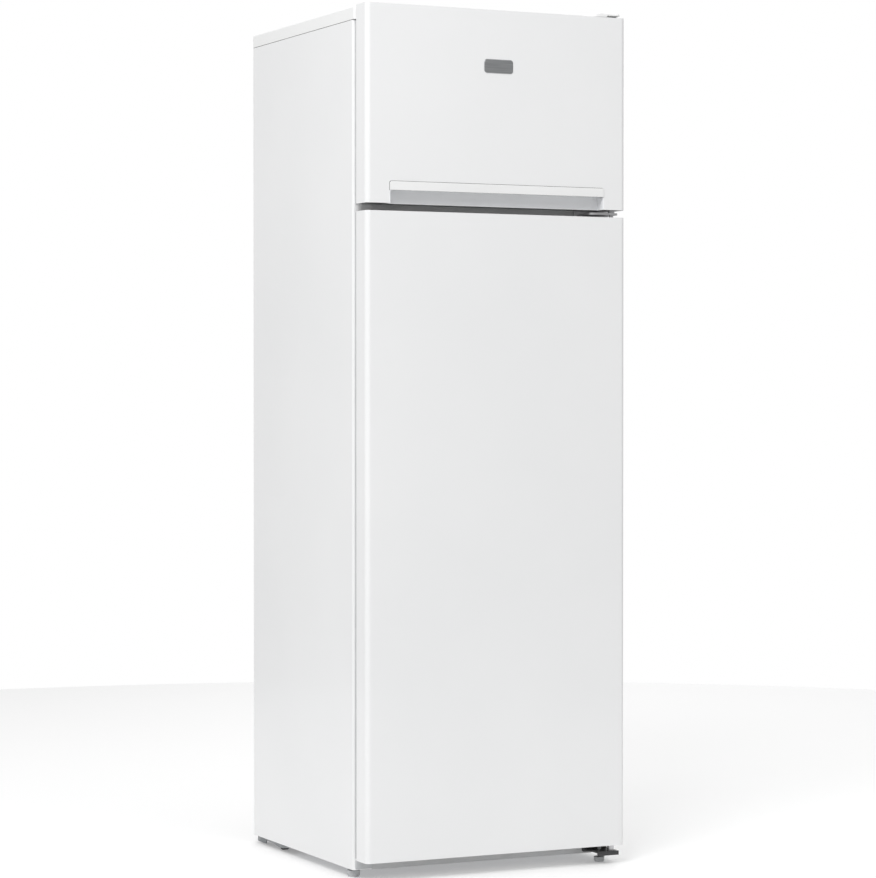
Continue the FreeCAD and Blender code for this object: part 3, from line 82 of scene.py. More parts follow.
def softbox(name, place, target, size, power, height=None):
    """Area light at a place, facing a target: square, or upright with its own height."""
    data = bpy.data.lights.new(name, "AREA")
    data.shape = "RECTANGLE"
    data.size = size
    data.size_y = height or size
    data.energy = power
    lamp = bpy.data.objects.new(name, data)
    lamp.location = place
    lamp.rotation_euler = (Vector(target) - Vector(place)).to_track_quat("-Z", "Y").to_euler()
    lamp.visible_camera = False
    scene.collection.objects.link(lamp)


softbox("key_left", (-2.4, -2.7, 3.9), (0.0, 0.0, 1.3), 1.8, 108)
softbox("overhead", (0.0, 0.0, 5.4), (0.0, 0.0, 0.0), 6.0, 140)
softbox("back_fill", (2.6, 3.6, 2.6), (0.0, 0.0, 0.8), 2.6, 30)
softbox("side_strip", (-3.4, -0.8, 2.9), (-0.3, 0.0, 1.4), 0.8, 15, 1.6)

floor_radius = 3.4
floor_steps = 96
floor_mesh = bpy.data.meshes.new("floor")
floor_mesh.from_pydata([(floor_radius * math.cos(2 * math.pi * k / floor_steps),
                         floor_radius * math.sin(2 * math.pi * k / floor_steps), 0)
                        for k in range(floor_steps)], [], [list(range(floor_steps))])
floor = bpy.data.objects.new("floor", floor_mesh)
scene.collection.objects.link(floor)
pale = bpy.data.materials.new("pale_floor")
pale.use_nodes = True
pale.node_tree.nodes["Principled BSDF"].inputs["Base Color"].default_value = (0.70, 0.70, 0.70, 1.0)
pale.node_tree.nodes["Principled BSDF"].inputs["Emission Color"].default_value = (1.0, 1.0, 1.0, 1.0)
pale.node_tree.nodes["Principled BSDF"].inputs["Emission Strength"].default_value = 0.25
pale.node_tree.nodes["Principled BSDF"].inputs["Roughness"].default_value = 0.6
floor_mesh.materials.append(pale)


# ---- Cabinet sides and front rails --------------------------------------------------------
# Each side is one folded sheet of white coil-coated steel, and the rails between the
# compartments are the same sheet. The coat is glossy with a faint orange peel.
def finish(name, colour, roughness, metallic=0.0, coat=0.0):
    """New node material; returns it with its node tree and Principled shader."""
    material = bpy.data.materials.new(name)
    material.use_nodes = True
    shader = material.node_tree.nodes["Principled BSDF"]
    shader.inputs["Base Color"].default_value = (*colour, 1.0)
    shader.inputs["Roughness"].default_value = roughness
    shader.inputs["Metallic"].default_value = metallic
    shader.inputs["Coat Weight"].default_value = coat
    shader.inputs["Coat Roughness"].default_value = 0.08
    return material, material.node_tree, shader


def noise(tree, scale, detail=2.0, stretch=(1.0, 1.0, 1.0)):
    """Noise on Object coordinates; the scale is in features per metre, stretched along each axis."""
    place = tree.nodes.new("ShaderNodeTexCoord")
    drawn = tree.nodes.new("ShaderNodeMapping")
    drawn.inputs["Scale"].default_value = stretch
    pattern = tree.nodes.new("ShaderNodeTexNoise")
    pattern.inputs["Scale"].default_value = scale
    pattern.inputs["Detail"].default_value = detail
    tree.links.new(place.outputs["Object"], drawn.inputs["Vector"])
    tree.links.new(drawn.outputs["Vector"], pattern.inputs["Vector"])
    return pattern.outputs["Fac"]


def tones(tree, shader, pattern, dark, light, low=0.35, high=0.65):
    """Base colour wandering between two tones as a pattern goes from low to high."""
    ramp = tree.nodes.new("ShaderNodeValToRGB")
    ramp.color_ramp.elements[0].position = low
    ramp.color_ramp.elements[0].color = (*dark, 1.0)
    ramp.color_ramp.elements[1].position = high
    ramp.color_ramp.elements[1].color = (*light, 1.0)
    tree.links.new(pattern, ramp.inputs["Fac"])
    tree.links.new(ramp.outputs["Color"], shader.inputs["Base Color"])


def gloss_patches(tree, shader, pattern, low, high):
    """Roughness between two values, following a pattern."""
    spread = tree.nodes.new("ShaderNodeMapRange")
    spread.inputs["To Min"].default_value = low
    spread.inputs["To Max"].default_value = high
    tree.links.new(pattern, spread.inputs["Value"])
    tree.links.new(spread.outputs["Result"], shader.inputs["Roughness"])


def relief(tree, shader, pattern, strength, distance):
    """Fine bump from a pattern; the distance is in metres."""
    bump = tree.nodes.new("ShaderNodeBump")
    bump.inputs["Strength"].default_value = strength
    bump.inputs["Distance"].default_value = distance
    tree.links.new(pattern, bump.inputs["Height"])
    tree.links.new(bump.outputs["Normal"], shader.inputs["Normal"])


def dress(material, *names):
    """Gives a material to every slot of carried-over nodes."""
    for name in names:
        for slot in nodes[name].material_slots:
            slot.material = material


enamel, tree, shader = finish("white_enamel", (0.83, 0.835, 0.84), 0.30, coat=0.25)
tones(tree, shader, noise(tree, 2.5), (0.800, 0.804, 0.808), (0.822, 0.825, 0.828))
gloss_patches(tree, shader, noise(tree, 9.0), 0.28, 0.36)
relief(tree, shader, noise(tree, 420.0, 1.0), 0.06, 0.0004)
dress(enamel, "side_panel_left", "side_panel_right", "front_rails")

# ---- Top cover ----------------------------------------------------------------------------
# One injection-moulded ABS lid, clipped over the side sheets. Satin white with a very fine
# spark-eroded grain.
moulded, tree, shader = finish("moulded_white", (0.81, 0.812, 0.81), 0.38)
tones(tree, shader, noise(tree, 4.0), (0.795, 0.798, 0.797), (0.820, 0.823, 0.822))
gloss_patches(tree, shader, noise(tree, 35.0), 0.34, 0.44)
relief(tree, shader, noise(tree, 2400.0, 1.0), 0.08, 0.0002)
dress(moulded, "top_cover")

# ---- Back sheet and base pan --------------------------------------------------------------
# Hot-dip zinc sheet: dull grey metal whose crystals show as soft-edged spangles. The back
# sheet is screwed to the sides' rear flanges.
zinc, tree, shader = finish("zinc_sheet", (0.62, 0.63, 0.65), 0.42, metallic=0.9)
spangle_place = tree.nodes.new("ShaderNodeTexCoord")
spangle = tree.nodes.new("ShaderNodeTexVoronoi")
spangle.inputs["Scale"].default_value = 70.0
tree.links.new(spangle_place.outputs["Object"], spangle.inputs["Vector"])
spangle_grey = tree.nodes.new("ShaderNodeRGBToBW")
tree.links.new(spangle.outputs["Color"], spangle_grey.inputs["Color"])
tones(tree, shader, spangle_grey.outputs["Val"], (0.56, 0.57, 0.59), (0.66, 0.67, 0.69), 0.1, 0.9)
gloss_patches(tree, shader, spangle_grey.outputs["Val"], 0.40, 0.50)
dress(zinc, "back_panel", "floor_pan")

# ---- Bottom front rail --------------------------------------------------------------------
# The folded rail under the fridge door, between the two sides: the same steel in plain grey paint, drawn
# darker still as painted shade from the door above it.
rail_grey_and_shade, tree, shader = finish("rail_grey_and_shade", (0.50, 0.505, 0.51), 0.45)
tones(tree, shader, noise(tree, 12.0), (0.48, 0.485, 0.49), (0.52, 0.525, 0.53))
gloss_patches(tree, shader, noise(tree, 30.0), 0.40, 0.50)
dress(rail_grey_and_shade, "bottom_front_rail")

# ---- Compressor tray ----------------------------------------------------------------------
# Thicker folded steel plate with the rollers' ears and axles, electro-plated and dulled; on the tray its
# dark grey is partly painted shade from the cabinet above it.
dull_plate_and_shade, tree, shader = finish("dull_plate_and_shade", (0.30, 0.31, 0.32), 0.45, metallic=0.8)
tones(tree, shader, noise(tree, 25.0, 4.0), (0.24, 0.25, 0.26), (0.36, 0.37, 0.38))
gloss_patches(tree, shader, noise(tree, 60.0), 0.38, 0.55)
dress(dull_plate_and_shade, "compressor_tray")

# ---- Insulation ---------------------------------------------------------------------------
# Rigid polyurethane foam, poured between sheet and liner: straw yellow with fine cells.
foam, tree, shader = finish("polyurethane_foam", (0.80, 0.70, 0.42), 0.85)
tones(tree, shader, noise(tree, 260.0, 4.0), (0.70, 0.60, 0.34), (0.86, 0.77, 0.50))
relief(tree, shader, noise(tree, 900.0, 3.0), 0.6, 0.0008)
dress(foam, "cabinet_foam", "freezer_door_foam", "fridge_door_foam")

# ---- Food liners --------------------------------------------------------------------------
# Vacuum-formed white polystyrene, glossier where it was drawn tight, with moulded ledges.
# The two door liners are formed the same way.
liner, tree, shader = finish("formed_liner", (0.85, 0.855, 0.85), 0.27)
tones(tree, shader, noise(tree, 3.0), (0.835, 0.841, 0.837), (0.855, 0.861, 0.857))
gloss_patches(tree, shader, noise(tree, 14.0), 0.27, 0.30)
relief(tree, shader, noise(tree, 130.0, 1.0), 0.01, 0.0006)
dress(liner, "fridge_liner", "freezer_liner", "freezer_door_liner", "fridge_door_liner")

# ---- Cold plates --------------------------------------------------------------------------
# Roll-bonded aluminium evaporators pressed to the outside of the liners.
aluminium, tree, shader = finish("evaporator_aluminium", (0.78, 0.79, 0.80), 0.35, metallic=1.0)
gloss_patches(tree, shader, noise(tree, 60.0, 2.0, (0.1, 1.0, 1.0)), 0.26, 0.48)
dress(aluminium, "evaporator_plates")


# ---- Defrost gutter -----------------------------------------------------------------------
# A moulded bead along the step at the foot of the rear wall, and a collar round the drain
# hole. Both are part of the white liner's forming and lead the water to the hole.
def grid(points, closed_rows=False, closed_columns=False, caps=False):
    """Vertices and faces of a net of points.

    Each cell joins a point to its neighbours in the next row and column; a closed direction also
    joins the last to the first, and caps close the first and last row.
    """
    rows, columns, _ = points.shape
    r, c = np.meshgrid(np.arange(rows if closed_rows else rows - 1),
                       np.arange(columns if closed_columns else columns - 1), indexing="ij")
    r_next = (r + 1) % rows
    c_next = (c + 1) % columns
    cells = np.stack([r * columns + c, r * columns + c_next, r_next * columns + c_next,
                      r_next * columns + c], axis=-1)
    faces = cells.reshape(-1, 4).tolist()
    if caps:
        faces.append(list(range(columns))[::-1])
        faces.append(list(range((rows - 1) * columns, rows * columns)))
    return points.reshape(-1, 3), faces


def piece(name, parts, material, body, stands_for=(), sharp=38.0):
    """One mesh object from several nets given in millimetres, welded, with its faces outward.

    Edges that turn by more than the sharp angle stay crisp and the others are shaded smooth.
    """
    corners = []
    faces = []
    count = 0
    for part_corners, part_faces in parts:
        corners.append(part_corners)
        faces += [[i + count for i in face] for face in part_faces]
        count += len(part_corners)
    mesh = bpy.data.meshes.new(name)
    mesh.from_pydata((np.concatenate(corners) * mm).tolist(), [], faces)
    work = bmesh.new()
    work.from_mesh(mesh)
    bmesh.ops.remove_doubles(work, verts=work.verts, dist=1e-6)
    bmesh.ops.recalc_face_normals(work, faces=work.faces)
    for face in work.faces:
        face.smooth = True
    for edge in work.edges:
        edge.smooth = len(edge.link_faces) < 2 or edge.calc_face_angle(0.0) < math.radians(sharp)
    work.to_mesh(mesh)
    work.free()
    mesh.materials.append(material)
    made = bpy.data.objects.new(name, mesh)
    scene.collection.objects.link(made)
    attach(made, body)
    if stands_for:
        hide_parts(*stands_for)
    return made


def carried(profile, x0, x1):
    """A closed outline in depth and height carried straight from x0 to x1, both ends closed."""
    profile = np.asarray(profile, float)
    ends = [np.column_stack([np.full(len(profile), x), profile]) for x in (x0, x1)]
    return grid(np.array(ends), closed_columns=True, caps=True)


def turned(profile, centre, axis, steps=64, closed=False):
    """A profile of (distance along the axis, radius) turned once round an axis through a centre.

    Across the axis the point at angle a lies at radius times (cos a, sin a).
    """
    profile = np.asarray(profile, float)
    angle = np.linspace(0, 2 * np.pi, steps, endpoint=False)
    along = np.repeat(profile[:, :1], steps, axis=1)
    u = profile[:, 1:] * np.cos(angle)
    v = profile[:, 1:] * np.sin(angle)
    order = {"x": (along, u, v), "y": (v, along, u), "z": (u, v, along)}[axis]
    net = np.stack(order, axis=-1) + np.asarray(centre, float)
    return grid(net, closed_rows=closed, closed_columns=True)


def box_mm(node):
    """Lowest and highest corner of a CAD node at rest in millimetres, to the nearest 0.01."""
    return [np.round(np.array(corner) / mm, 2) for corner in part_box(node)]


def middle(node):
    """Middle of a CAD node's box in millimetres, to the nearest 0.1."""
    low, high = box_mm(node)
    return np.round((low + high) / 2, 1)


pipe_middle = middle("drain_pipe")
step_z = box_mm("drain_pipe")[1][2]
gutter_to_wall = 27.0
gutter_y = box_mm("fridge_liner")[1][1] - gutter_to_wall
gutter_half = 195.0
bead_turn = np.linspace(0, np.pi, 9)
bead = np.column_stack([gutter_y + 3.0 * np.cos(bead_turn), step_z - 0.1 + 3.0 * np.sin(bead_turn)])
collar = [(-0.1, 6.0), (1.4, 6.2), (2.0, 7.0), (1.4, 8.2), (-0.1, 9.0)]
drain_hole = (pipe_middle[0], pipe_middle[1], step_z)
piece("drain_gutter", [carried(bead, -gutter_half, gutter_half), turned(collar, drain_hole, "z", 48)],
      liner, "cabinet")

# ---- Compressor ---------------------------------------------------------------------------
# A pressed steel shell in two halves, joined by one weld bead, dipped in semi-gloss black
# enamel. It stands on four rubber grommets on the tray.
black, tree, shader = finish("black_enamel", (0.022, 0.022, 0.024), 0.32, coat=0.2)
tones(tree, shader, noise(tree, 18.0, 4.0), (0.016, 0.016, 0.018), (0.040, 0.040, 0.042))
gloss_patches(tree, shader, noise(tree, 45.0, 3.0), 0.25, 0.45)
relief(tree, shader, noise(tree, 600.0, 1.0), 0.12, 0.0003)
dress(black, "compressor")
# Black rubber for the grommets; the same black also paints shade in the cover seam and round the pull strip.
rubber_and_shade, tree, shader = finish("black_rubber", (0.025, 0.025, 0.025), 0.75)
tones(tree, shader, noise(tree, 80.0), (0.020, 0.020, 0.020), (0.040, 0.040, 0.040))
relief(tree, shader, noise(tree, 500.0), 0.15, 0.0003)
dress(rubber_and_shade, "compressor_grommets")

shell_axis = middle("compressor") * (1.0, 1.0, 0.0)
shell_foot_z = box_mm("compressor")[0][2]
bead_ring = 72.0
bead_z = shell_foot_z + 59.6
ring_turn = np.linspace(0, 2 * np.pi, 360, endpoint=False)
bead_angle = np.linspace(0, 2 * np.pi, 10, endpoint=False)
ripple = 1.7 + 0.18 * np.cos(90 * ring_turn)[:, None]
reach = bead_ring + ripple * np.cos(bead_angle)
weld = np.stack([shell_axis[0] + reach * np.cos(ring_turn)[:, None],
                 shell_axis[1] + reach * np.sin(ring_turn)[:, None],
                 bead_z + ripple * np.sin(bead_angle)], axis=-1)
piece("compressor_weld", [grid(weld, True, True)], black, "cabinet")

# ---- Refrigerant pipes --------------------------------------------------------------------
# Drawn copper: delivery, return and capillary, the filter drier, and the charging stub that is
# crimped flat after filling. Brazed joints leave darker heat marks.
copper, tree, shader = finish("drawn_copper", (0.72, 0.36, 0.22), 0.28, metallic=1.0)
tones(tree, shader, noise(tree, 35.0, 3.0), (0.50, 0.23, 0.14), (0.78, 0.42, 0.28))
gloss_patches(tree, shader, noise(tree, 90.0), 0.20, 0.42)
dress(copper, "refrigerant_pipes")

stub_length = 34.0
stub_radius = 3.0
flatten_from = 20.0
stub_z = shell_foot_z + 101.0
stub_out = np.array((-math.sqrt(0.5), -math.sqrt(0.5), 0.0))
stub_side = np.array((math.sqrt(0.5), -math.sqrt(0.5), 0.0))
stub_start = shell_axis + stub_out * 66.0 + np.array((0.0, 0.0, stub_z))
along = np.array((0.0, 10.0, 18.0, flatten_from, 24.0, 28.0, stub_length))
squeeze = np.clip((along - flatten_from) / 6.0, 0.0, 1.0)[:, None]
round_turn = np.linspace(0, 2 * np.pi, 24, endpoint=False)
wide = stub_radius * (1 + 0.45 * squeeze) * np.cos(round_turn)
thick = stub_radius * (1 - 0.72 * squeeze) * np.sin(round_turn)
stub = (stub_start + along[:, None, None] * stub_out + wide[..., None] * stub_side
        + thick[..., None] * np.array((0.0, 0.0, 1.0)))
piece("charging_stub", [grid(stub, closed_columns=True, caps=True)], copper, "cabinet")

# ---- Relay box ----------------------------------------------------------------------------
# Moulded black cover over the compressor's terminals, held by a sprung wire.
black_plastic, tree, shader = finish("black_plastic", (0.035, 0.035, 0.038), 0.5)
tones(tree, shader, noise(tree, 30.0), (0.028, 0.028, 0.030), (0.050, 0.050, 0.054))
gloss_patches(tree, shader, noise(tree, 50.0), 0.42, 0.58)
relief(tree, shader, noise(tree, 1500.0, 1.0), 0.2, 0.0002)
dress(black_plastic, "relay_box")


# ---- Defrost tray -------------------------------------------------------------------------
# Thin moulded tray that sits on the warm shell. Rounded all round, with a rolled rim.
def outline(x0, x1, y0, y1, radii, straight=1):
    """Rounded rectangle walked anticlockwise from the low corner.

    Every corner is a quarter circle with its own radius; each straight side is split evenly.
    """
    places = [(x0, y0, 1, 1), (x1, y0, -1, 1), (x1, y1, -1, -1), (x0, y1, 1, -1)]
    arcs = []
    for k, (x, y, sx, sy) in enumerate(places):
        r = max(radii[k], 0.2)
        angle = np.pi * (1 + k / 2) + np.linspace(0, np.pi / 2, 8)
        arcs.append(np.stack([x + sx * r + r * np.cos(angle), y + sy * r + r * np.sin(angle)], axis=-1))
    share = np.linspace(0, 1, straight + 1)[1:-1, None]
    walk = []
    for k in range(4):
        end = arcs[k][-1]
        walk += [arcs[k], end + share * (arcs[(k + 1) % 4][0] - end)]
    return np.concatenate(walk)


def stacked(levels, x0, x1, y0, y1, radii, straight=1):
    """Rows of rounded rectangles: each level (side inset, end inset, height) draws the outline in."""
    rows = []
    for side, end, height in levels:
        radius = [r - max(side, end) for r in radii]
        ring = outline(x0 + side, x1 - side, y0 + end, y1 - end, radius, straight)
        rows.append(np.column_stack([ring, np.full(len(ring), height)]))
    return np.array(rows)


tray_low, tray_high = box_mm("drip_tray")
tray_wall = 2.0
tray_profile = [(3.0, 0.0), (1.4, 0.4), (0.6, 1.6), (0.0, 4.0), (0.0, 19.2), (0.4, 19.9), (1.0, 20.0),
                (tray_wall, 19.2), (tray_wall, 4.5), (tray_wall + 1.0, 2.6), (tray_wall + 2.6, 2.0)]
tray_levels = [(inset, inset, tray_low[2] + rise) for inset, rise in tray_profile]
tray = stacked(tray_levels, tray_low[0], tray_high[0], tray_low[1], tray_high[1], [10.0] * 4)
piece("defrost_tray", [grid(tray, closed_columns=True, caps=True)], black_plastic, "cabinet",
      ("drip_tray",))

# ---- Seam shade band ----------------------------------------------------------------------
# A black band between the top cover and the side sheets: painted shade that shows the seam as a fine dark
# line.
seam_shade_inset = 0.6
seam_shade_wall = 0.9
seam_shade_air = 0.05
side_low, side_high = box_mm("side_panel_left")
cover_low, cover_high = box_mm("top_cover")
seam_shade_heights = (side_high[2] + seam_shade_air, cover_low[2] - seam_shade_air)
seam_shade_outside = [(seam_shade_inset, seam_shade_inset, z) for z in seam_shade_heights]
seam_shade_inside = [(seam_shade_inset + seam_shade_wall, seam_shade_inset + seam_shade_wall, z) for z in seam_shade_heights[::-1]]
seam_shade = stacked(seam_shade_outside + seam_shade_inside, cover_low[0], cover_high[0], side_low[1], cover_high[1],
               [5.0] * 4)
piece("cover_seam_shade_band", [grid(seam_shade, True, True)], rubber_and_shade, "cabinet")

# ---- Condenser ----------------------------------------------------------------------------
# Serpentine steel tube with wires welded to both sides, all dipped in the same black enamel,
# held off the back sheet by black spacers.
dress(black, "condenser_tube", "condenser_wires")
dress(black_plastic, "condenser_clips")

# ---- Drain pipe ---------------------------------------------------------------------------
# Grey polypropylene pipe from the liner down to the tray.
grey, tree, shader = finish("grey_moulding", (0.52, 0.53, 0.54), 0.42)
tones(tree, shader, noise(tree, 30.0), (0.48, 0.49, 0.50), (0.54, 0.55, 0.56))
gloss_patches(tree, shader, noise(tree, 40.0), 0.36, 0.5)
relief(tree, shader, noise(tree, 2000.0, 1.0), 0.1, 0.0002)
dress(grey, "drain_pipe")

# ---- Control housing ----------------------------------------------------------------------
# White moulded box on the right-hand wall, over the thermostat and the door switch, with nine
# raised marks round the knob that grow from coldest to warmest.
dress(moulded, "control_housing", "door_switch_button")

knob_low, knob_high = box_mm("thermostat_knob")
_, knob_y, knob_z = middle("thermostat_knob")
housing_face = box_mm("control_housing")[0][0]
mark_inner = 19.0
mark_steps = 9
marks = []
for k in range(mark_steps):
    turn = math.radians(-150 + 300 * k / (mark_steps - 1))
    outward = np.array((0.0, math.sin(turn), math.cos(turn)))
    across = np.array((0.0, math.cos(turn), -math.sin(turn)))
    length = 2.0 + 0.35 * k
    mark_middle = np.array((housing_face, knob_y, knob_z)) + outward * (mark_inner + length / 2)
    corners = [mark_middle + a * across * 0.7 + b * outward * length / 2 for a, b in
               ((-1, -1), (1, -1), (1, 1), (-1, 1))]
    low = np.array(corners) + (0.1, 0.0, 0.0)
    high = np.array(corners) - (0.25, 0.0, 0.0)
    marks.append(grid(np.array([low, high]), closed_columns=True, caps=True))
piece("thermostat_marks", marks, grey, "cabinet")

# ---- Thermostat knob ----------------------------------------------------------------------
# White ABS cap with twenty finger flutes round its rim and a raised pointer bar, pressed on the
# thermostat's shaft.
knob_radius = 16.0
knob_back = housing_face - 0.5
knob_front = knob_low[0] + 3.0
shaft_end = knob_high[0]
flute_depth = 0.8
flutes = 20
knob_turn = np.linspace(0, 2 * np.pi, 160, endpoint=False)
knob_rows = [(shaft_end, 0.0, 0), (shaft_end, 3.0, 0), (knob_back, 3.0, 0), (knob_back, 15.6, 0),
             (knob_back - 0.5, knob_radius, 0), (knob_back - 1.5, knob_radius, 1),
             (knob_front + 2.4, knob_radius - 0.5, 1), (knob_front + 0.9, knob_radius - 1.0, 0.5),
             (knob_front, knob_radius - 2.2, 0), (knob_front, 0.0, 0)]
scallop = (0.5 + 0.5 * np.cos(flutes * knob_turn)) ** 2
cap = []
for x, r, share in knob_rows:
    radius = r - flute_depth * share * scallop
    cap.append(np.column_stack([np.full(len(knob_turn), x), knob_y + radius * np.sin(knob_turn),
                                knob_z + radius * np.cos(knob_turn)]))
pointer_levels = [(0, 0, 0.3), (0, 0, -2.2), (0.3, 0.3, -2.8), (0.9, 0.9, -3.0)]
pointer = stacked(pointer_levels, -2.0, 2.0, -13.0, 13.5, [1.9] * 4)
pointer = np.stack([knob_front + pointer[..., 2], knob_y + pointer[..., 0], knob_z + pointer[..., 1]],
                   axis=-1)
piece("thermostat_cap", [grid(np.array(cap), closed_columns=True),
                         grid(pointer, closed_columns=True, caps=True)],
      moulded, "knob", ("thermostat_knob",))

# ---- Lamp and its lens --------------------------------------------------------------------
# Small filament bulb in a holder, under a clear polycarbonate lens whose face is ribbed to
# spread the light. The lens snaps into the wall behind the control housing.
glass, tree, shader = finish("shelf_glass", (0.86, 0.95, 0.92), 0.03)
shader.inputs["Transmission Weight"].default_value = 1.0
shader.inputs["IOR"].default_value = 1.5
gloss_patches(tree, shader, noise(tree, 12.0), 0.01, 0.05)
lens, tree, shader = finish("lens_polycarbonate", (0.95, 0.95, 0.93), 0.25)
shader.inputs["Transmission Weight"].default_value = 0.8
gloss_patches(tree, shader, noise(tree, 60.0), 0.20, 0.35)
dress(glass, "interior_lamp")

lens_low, lens_high = box_mm("lamp_lens")
_, lens_mid_y, lens_mid_z = (lens_low + lens_high) / 2
lens_y = np.linspace(lens_low[1], lens_high[1], 61)
lens_z = np.linspace(lens_low[2], lens_high[2], 121)
yy, zz = np.meshgrid(lens_y, lens_z, indexing="ij")
u = (yy - lens_mid_y) / (lens_high[1] - lens_mid_y)
v = (zz - lens_mid_z) / (lens_high[2] - lens_mid_z)
swell = (np.clip(1 - np.abs(u) ** 8, 0, 1) * np.clip(1 - np.abs(v) ** 8, 0, 1)) ** 0.25
ribs = 0.5 * np.cos(2 * np.pi * (zz - lens_mid_z) / 4.0) * swell
lens_net = np.stack([lens_high[0] - (33.4 * swell + ribs * (np.abs(u) < 0.9)), yy, zz], axis=-1)
cover = piece("lamp_cover", [grid(lens_net)], lens, "cabinet", ("lamp_lens",), sharp=75.0)
wall = cover.modifiers.new("wall", "SOLIDIFY")
wall.thickness = 1.6 * mm
wall.offset = -1.0

# ---- Glass shelves ------------------------------------------------------------------------
# Float glass, green at the cut edges, in white moulded trims: a rounded nose at the front and an
# upright stop at the rear that keeps food off the cold wall.
dress(glass, "fridge_shelf_panes", "crisper_cover_glass")

trim_half = box_mm("shelf_trims")[1][0]
panes_low, panes_high = box_mm("fridge_shelf_panes")
glass_low, glass_high = box_mm("crisper_cover_glass")
pane_thickness = glass_high[2] - glass_low[2]
pane_front = panes_low[1]
pane_heights = np.round(np.linspace(panes_low[2], panes_high[2] - pane_thickness, 3) + 0.001, 1)
pane_bottoms = [(z, panes_high[1]) for z in pane_heights] + [(glass_low[2], glass_high[1])]
nose_turn = np.linspace(-np.pi / 2, -np.pi, 6)
front_nose = ([(-3.5 + 4.5 * math.cos(a), 2.5 + 4.5 * math.sin(a)) for a in nose_turn] +
              [(-8.0, 5.0), (-7.2, 7.0), (-5.2, 8.0), (-2.4, 7.8), (-1.0, 6.6), (1.0, 6.0), (8.0, 6.0),
               (8.0, 4.0), (0.0, 4.0), (0.0, 0.0), (8.0, 0.0), (8.0, -2.0)])
rear_stop = [(-8.0, -2.0), (5.0, -2.0), (5.0, 11.8), (4.4, 12.8), (3.2, 13.0), (2.0, 12.4), (1.0, 8.0),
             (0.2, 6.4), (-1.4, 6.0), (-8.0, 6.0), (-8.0, 4.0), (0.0, 4.0), (0.0, 0.0), (-8.0, 0.0)]
trims = []
for pane_z, pane_back in pane_bottoms:
    trims.append(carried(np.array(front_nose) + (pane_front, pane_z), -trim_half, trim_half))
    trims.append(carried(np.array(rear_stop) + (pane_back, pane_z), -trim_half, trim_half))
piece("shelf_edges", trims, moulded, "cabinet", ("shelf_trims",))

# ---- Wire shelf ---------------------------------------------------------------------------
# Steel rods spot-welded and dip-coated in thick white epoxy.
wire_coat, tree, shader = finish("white_wire_coat", (0.80, 0.80, 0.80), 0.35)
tones(tree, shader, noise(tree, 90.0), (0.76, 0.76, 0.76), (0.83, 0.83, 0.83))
relief(tree, shader, noise(tree, 350.0, 1.0), 0.25, 0.0003)
dress(wire_coat, "freezer_shelf")

# ---- Crisper drawer -----------------------------------------------------------------------
# One thin-walled clear polystyrene moulding with rounded edges. Its back is stepped to pass the
# machine compartment, and a hooked lip along the front is the handle.
clear, tree, shader = finish("clear_polystyrene", (0.93, 0.96, 0.98), 0.08)
shader.inputs["Transmission Weight"].default_value = 0.92
shader.inputs["IOR"].default_value = 1.49
gloss_patches(tree, shader, noise(tree, 20.0), 0.05, 0.12)

drawer_low, drawer_high = box_mm("crisper_drawer")
drawer_half = drawer_high[0]
drawer_wall = 2.5
lip_reach = 6.0
front_y = drawer_low[1] + lip_reach
back_y = drawer_high[1]
low_z = drawer_low[2]
rim_z = drawer_high[2]
step_back_y = back_y - 63.0
step_low_z = low_z + 75.5
drawer_line = np.array([(front_y, rim_z), (front_y, low_z), (step_back_y, low_z),
                        (step_back_y, step_low_z), (back_y, rim_z)])
ends = [np.column_stack([np.full(5, x), drawer_line]) for x in (-drawer_half, drawer_half)]
sides = [(end, [list(range(5))]) for end in ends]
drawer = piece("crisper_tub", [grid(np.array(ends))] + sides, clear, "crisper",
               ("crisper_drawer",))
soft = drawer.modifiers.new("soft_edges", "BEVEL")
soft.width = 7.0 * mm
soft.segments = 4
soft.limit_method = "ANGLE"
wall = drawer.modifiers.new("wall", "SOLIDIFY")
wall.thickness = drawer_wall * mm
wall.offset = -1.0
hook_line = np.array([(0.0, 0.0), (-4.4, 0.0), (-5.6, -0.6), (-6.0, -1.8), (-6.0, -20.0), (-5.4, -21.4),
                      (-4.6, -21.8), (-3.9, -21.2), (-3.7, -3.6), (-3.2, -2.6), (0.0, -2.4)])
hook_line += (front_y, rim_z)
piece("crisper_lip", [carried(hook_line, -drawer_half, drawer_half)], clear, "crisper")

# ---- Door skins ---------------------------------------------------------------------------
# The same coil-coated sheet as the sides, folded round the front, sides and back edge of each
# door, with a moulded white cap let into its top and bottom.
dress(enamel, "freezer_door_skin", "fridge_door_skin")
dress(moulded, "fridge_door_end_caps")

# ---- Freezer door's end caps --------------------------------------------------------------
# Injection-moulded: the top cap is white, and the bottom cap, which carries the pocket handle, is dark grey:
# partly a grey moulding, partly painted shade for the underside of the freezer door and the gap between the
# doors.
cap_change = middle("freezer_door_end_caps")[2] * mm
tone_and_shade, tree, shader = finish("end_cap_tone_and_shade", (0.81, 0.812, 0.81), 0.4)
place = tree.nodes.new("ShaderNodeTexCoord")
split = tree.nodes.new("ShaderNodeSeparateXYZ")
upper = tree.nodes.new("ShaderNodeMath")
upper.operation = "GREATER_THAN"
upper.inputs[1].default_value = cap_change
tree.links.new(place.outputs["Object"], split.inputs["Vector"])
tree.links.new(split.outputs["Z"], upper.inputs[0])
tones(tree, shader, upper.outputs["Value"], (0.15, 0.153, 0.156), (0.81, 0.812, 0.81), 0.2, 0.8)
gloss_patches(tree, shader, noise(tree, 35.0), 0.34, 0.46)
relief(tree, shader, noise(tree, 2400.0, 1.0), 0.08, 0.0002)
dress(tone_and_shade, "freezer_door_end_caps")


# ---- Pocket handle ------------------------------------------------------------------------
# A light grey moulded pocket set in the freezer door's bottom edge, under a white pull strip
# with softened edges. A narrow shadow gap runs round the strip.
def upright(net):
    """A net of (x, height, depth) stood up as (x, depth, height), so that its outline faces front."""
    return np.stack([net[..., 0], net[..., 2], net[..., 1]], axis=-1)


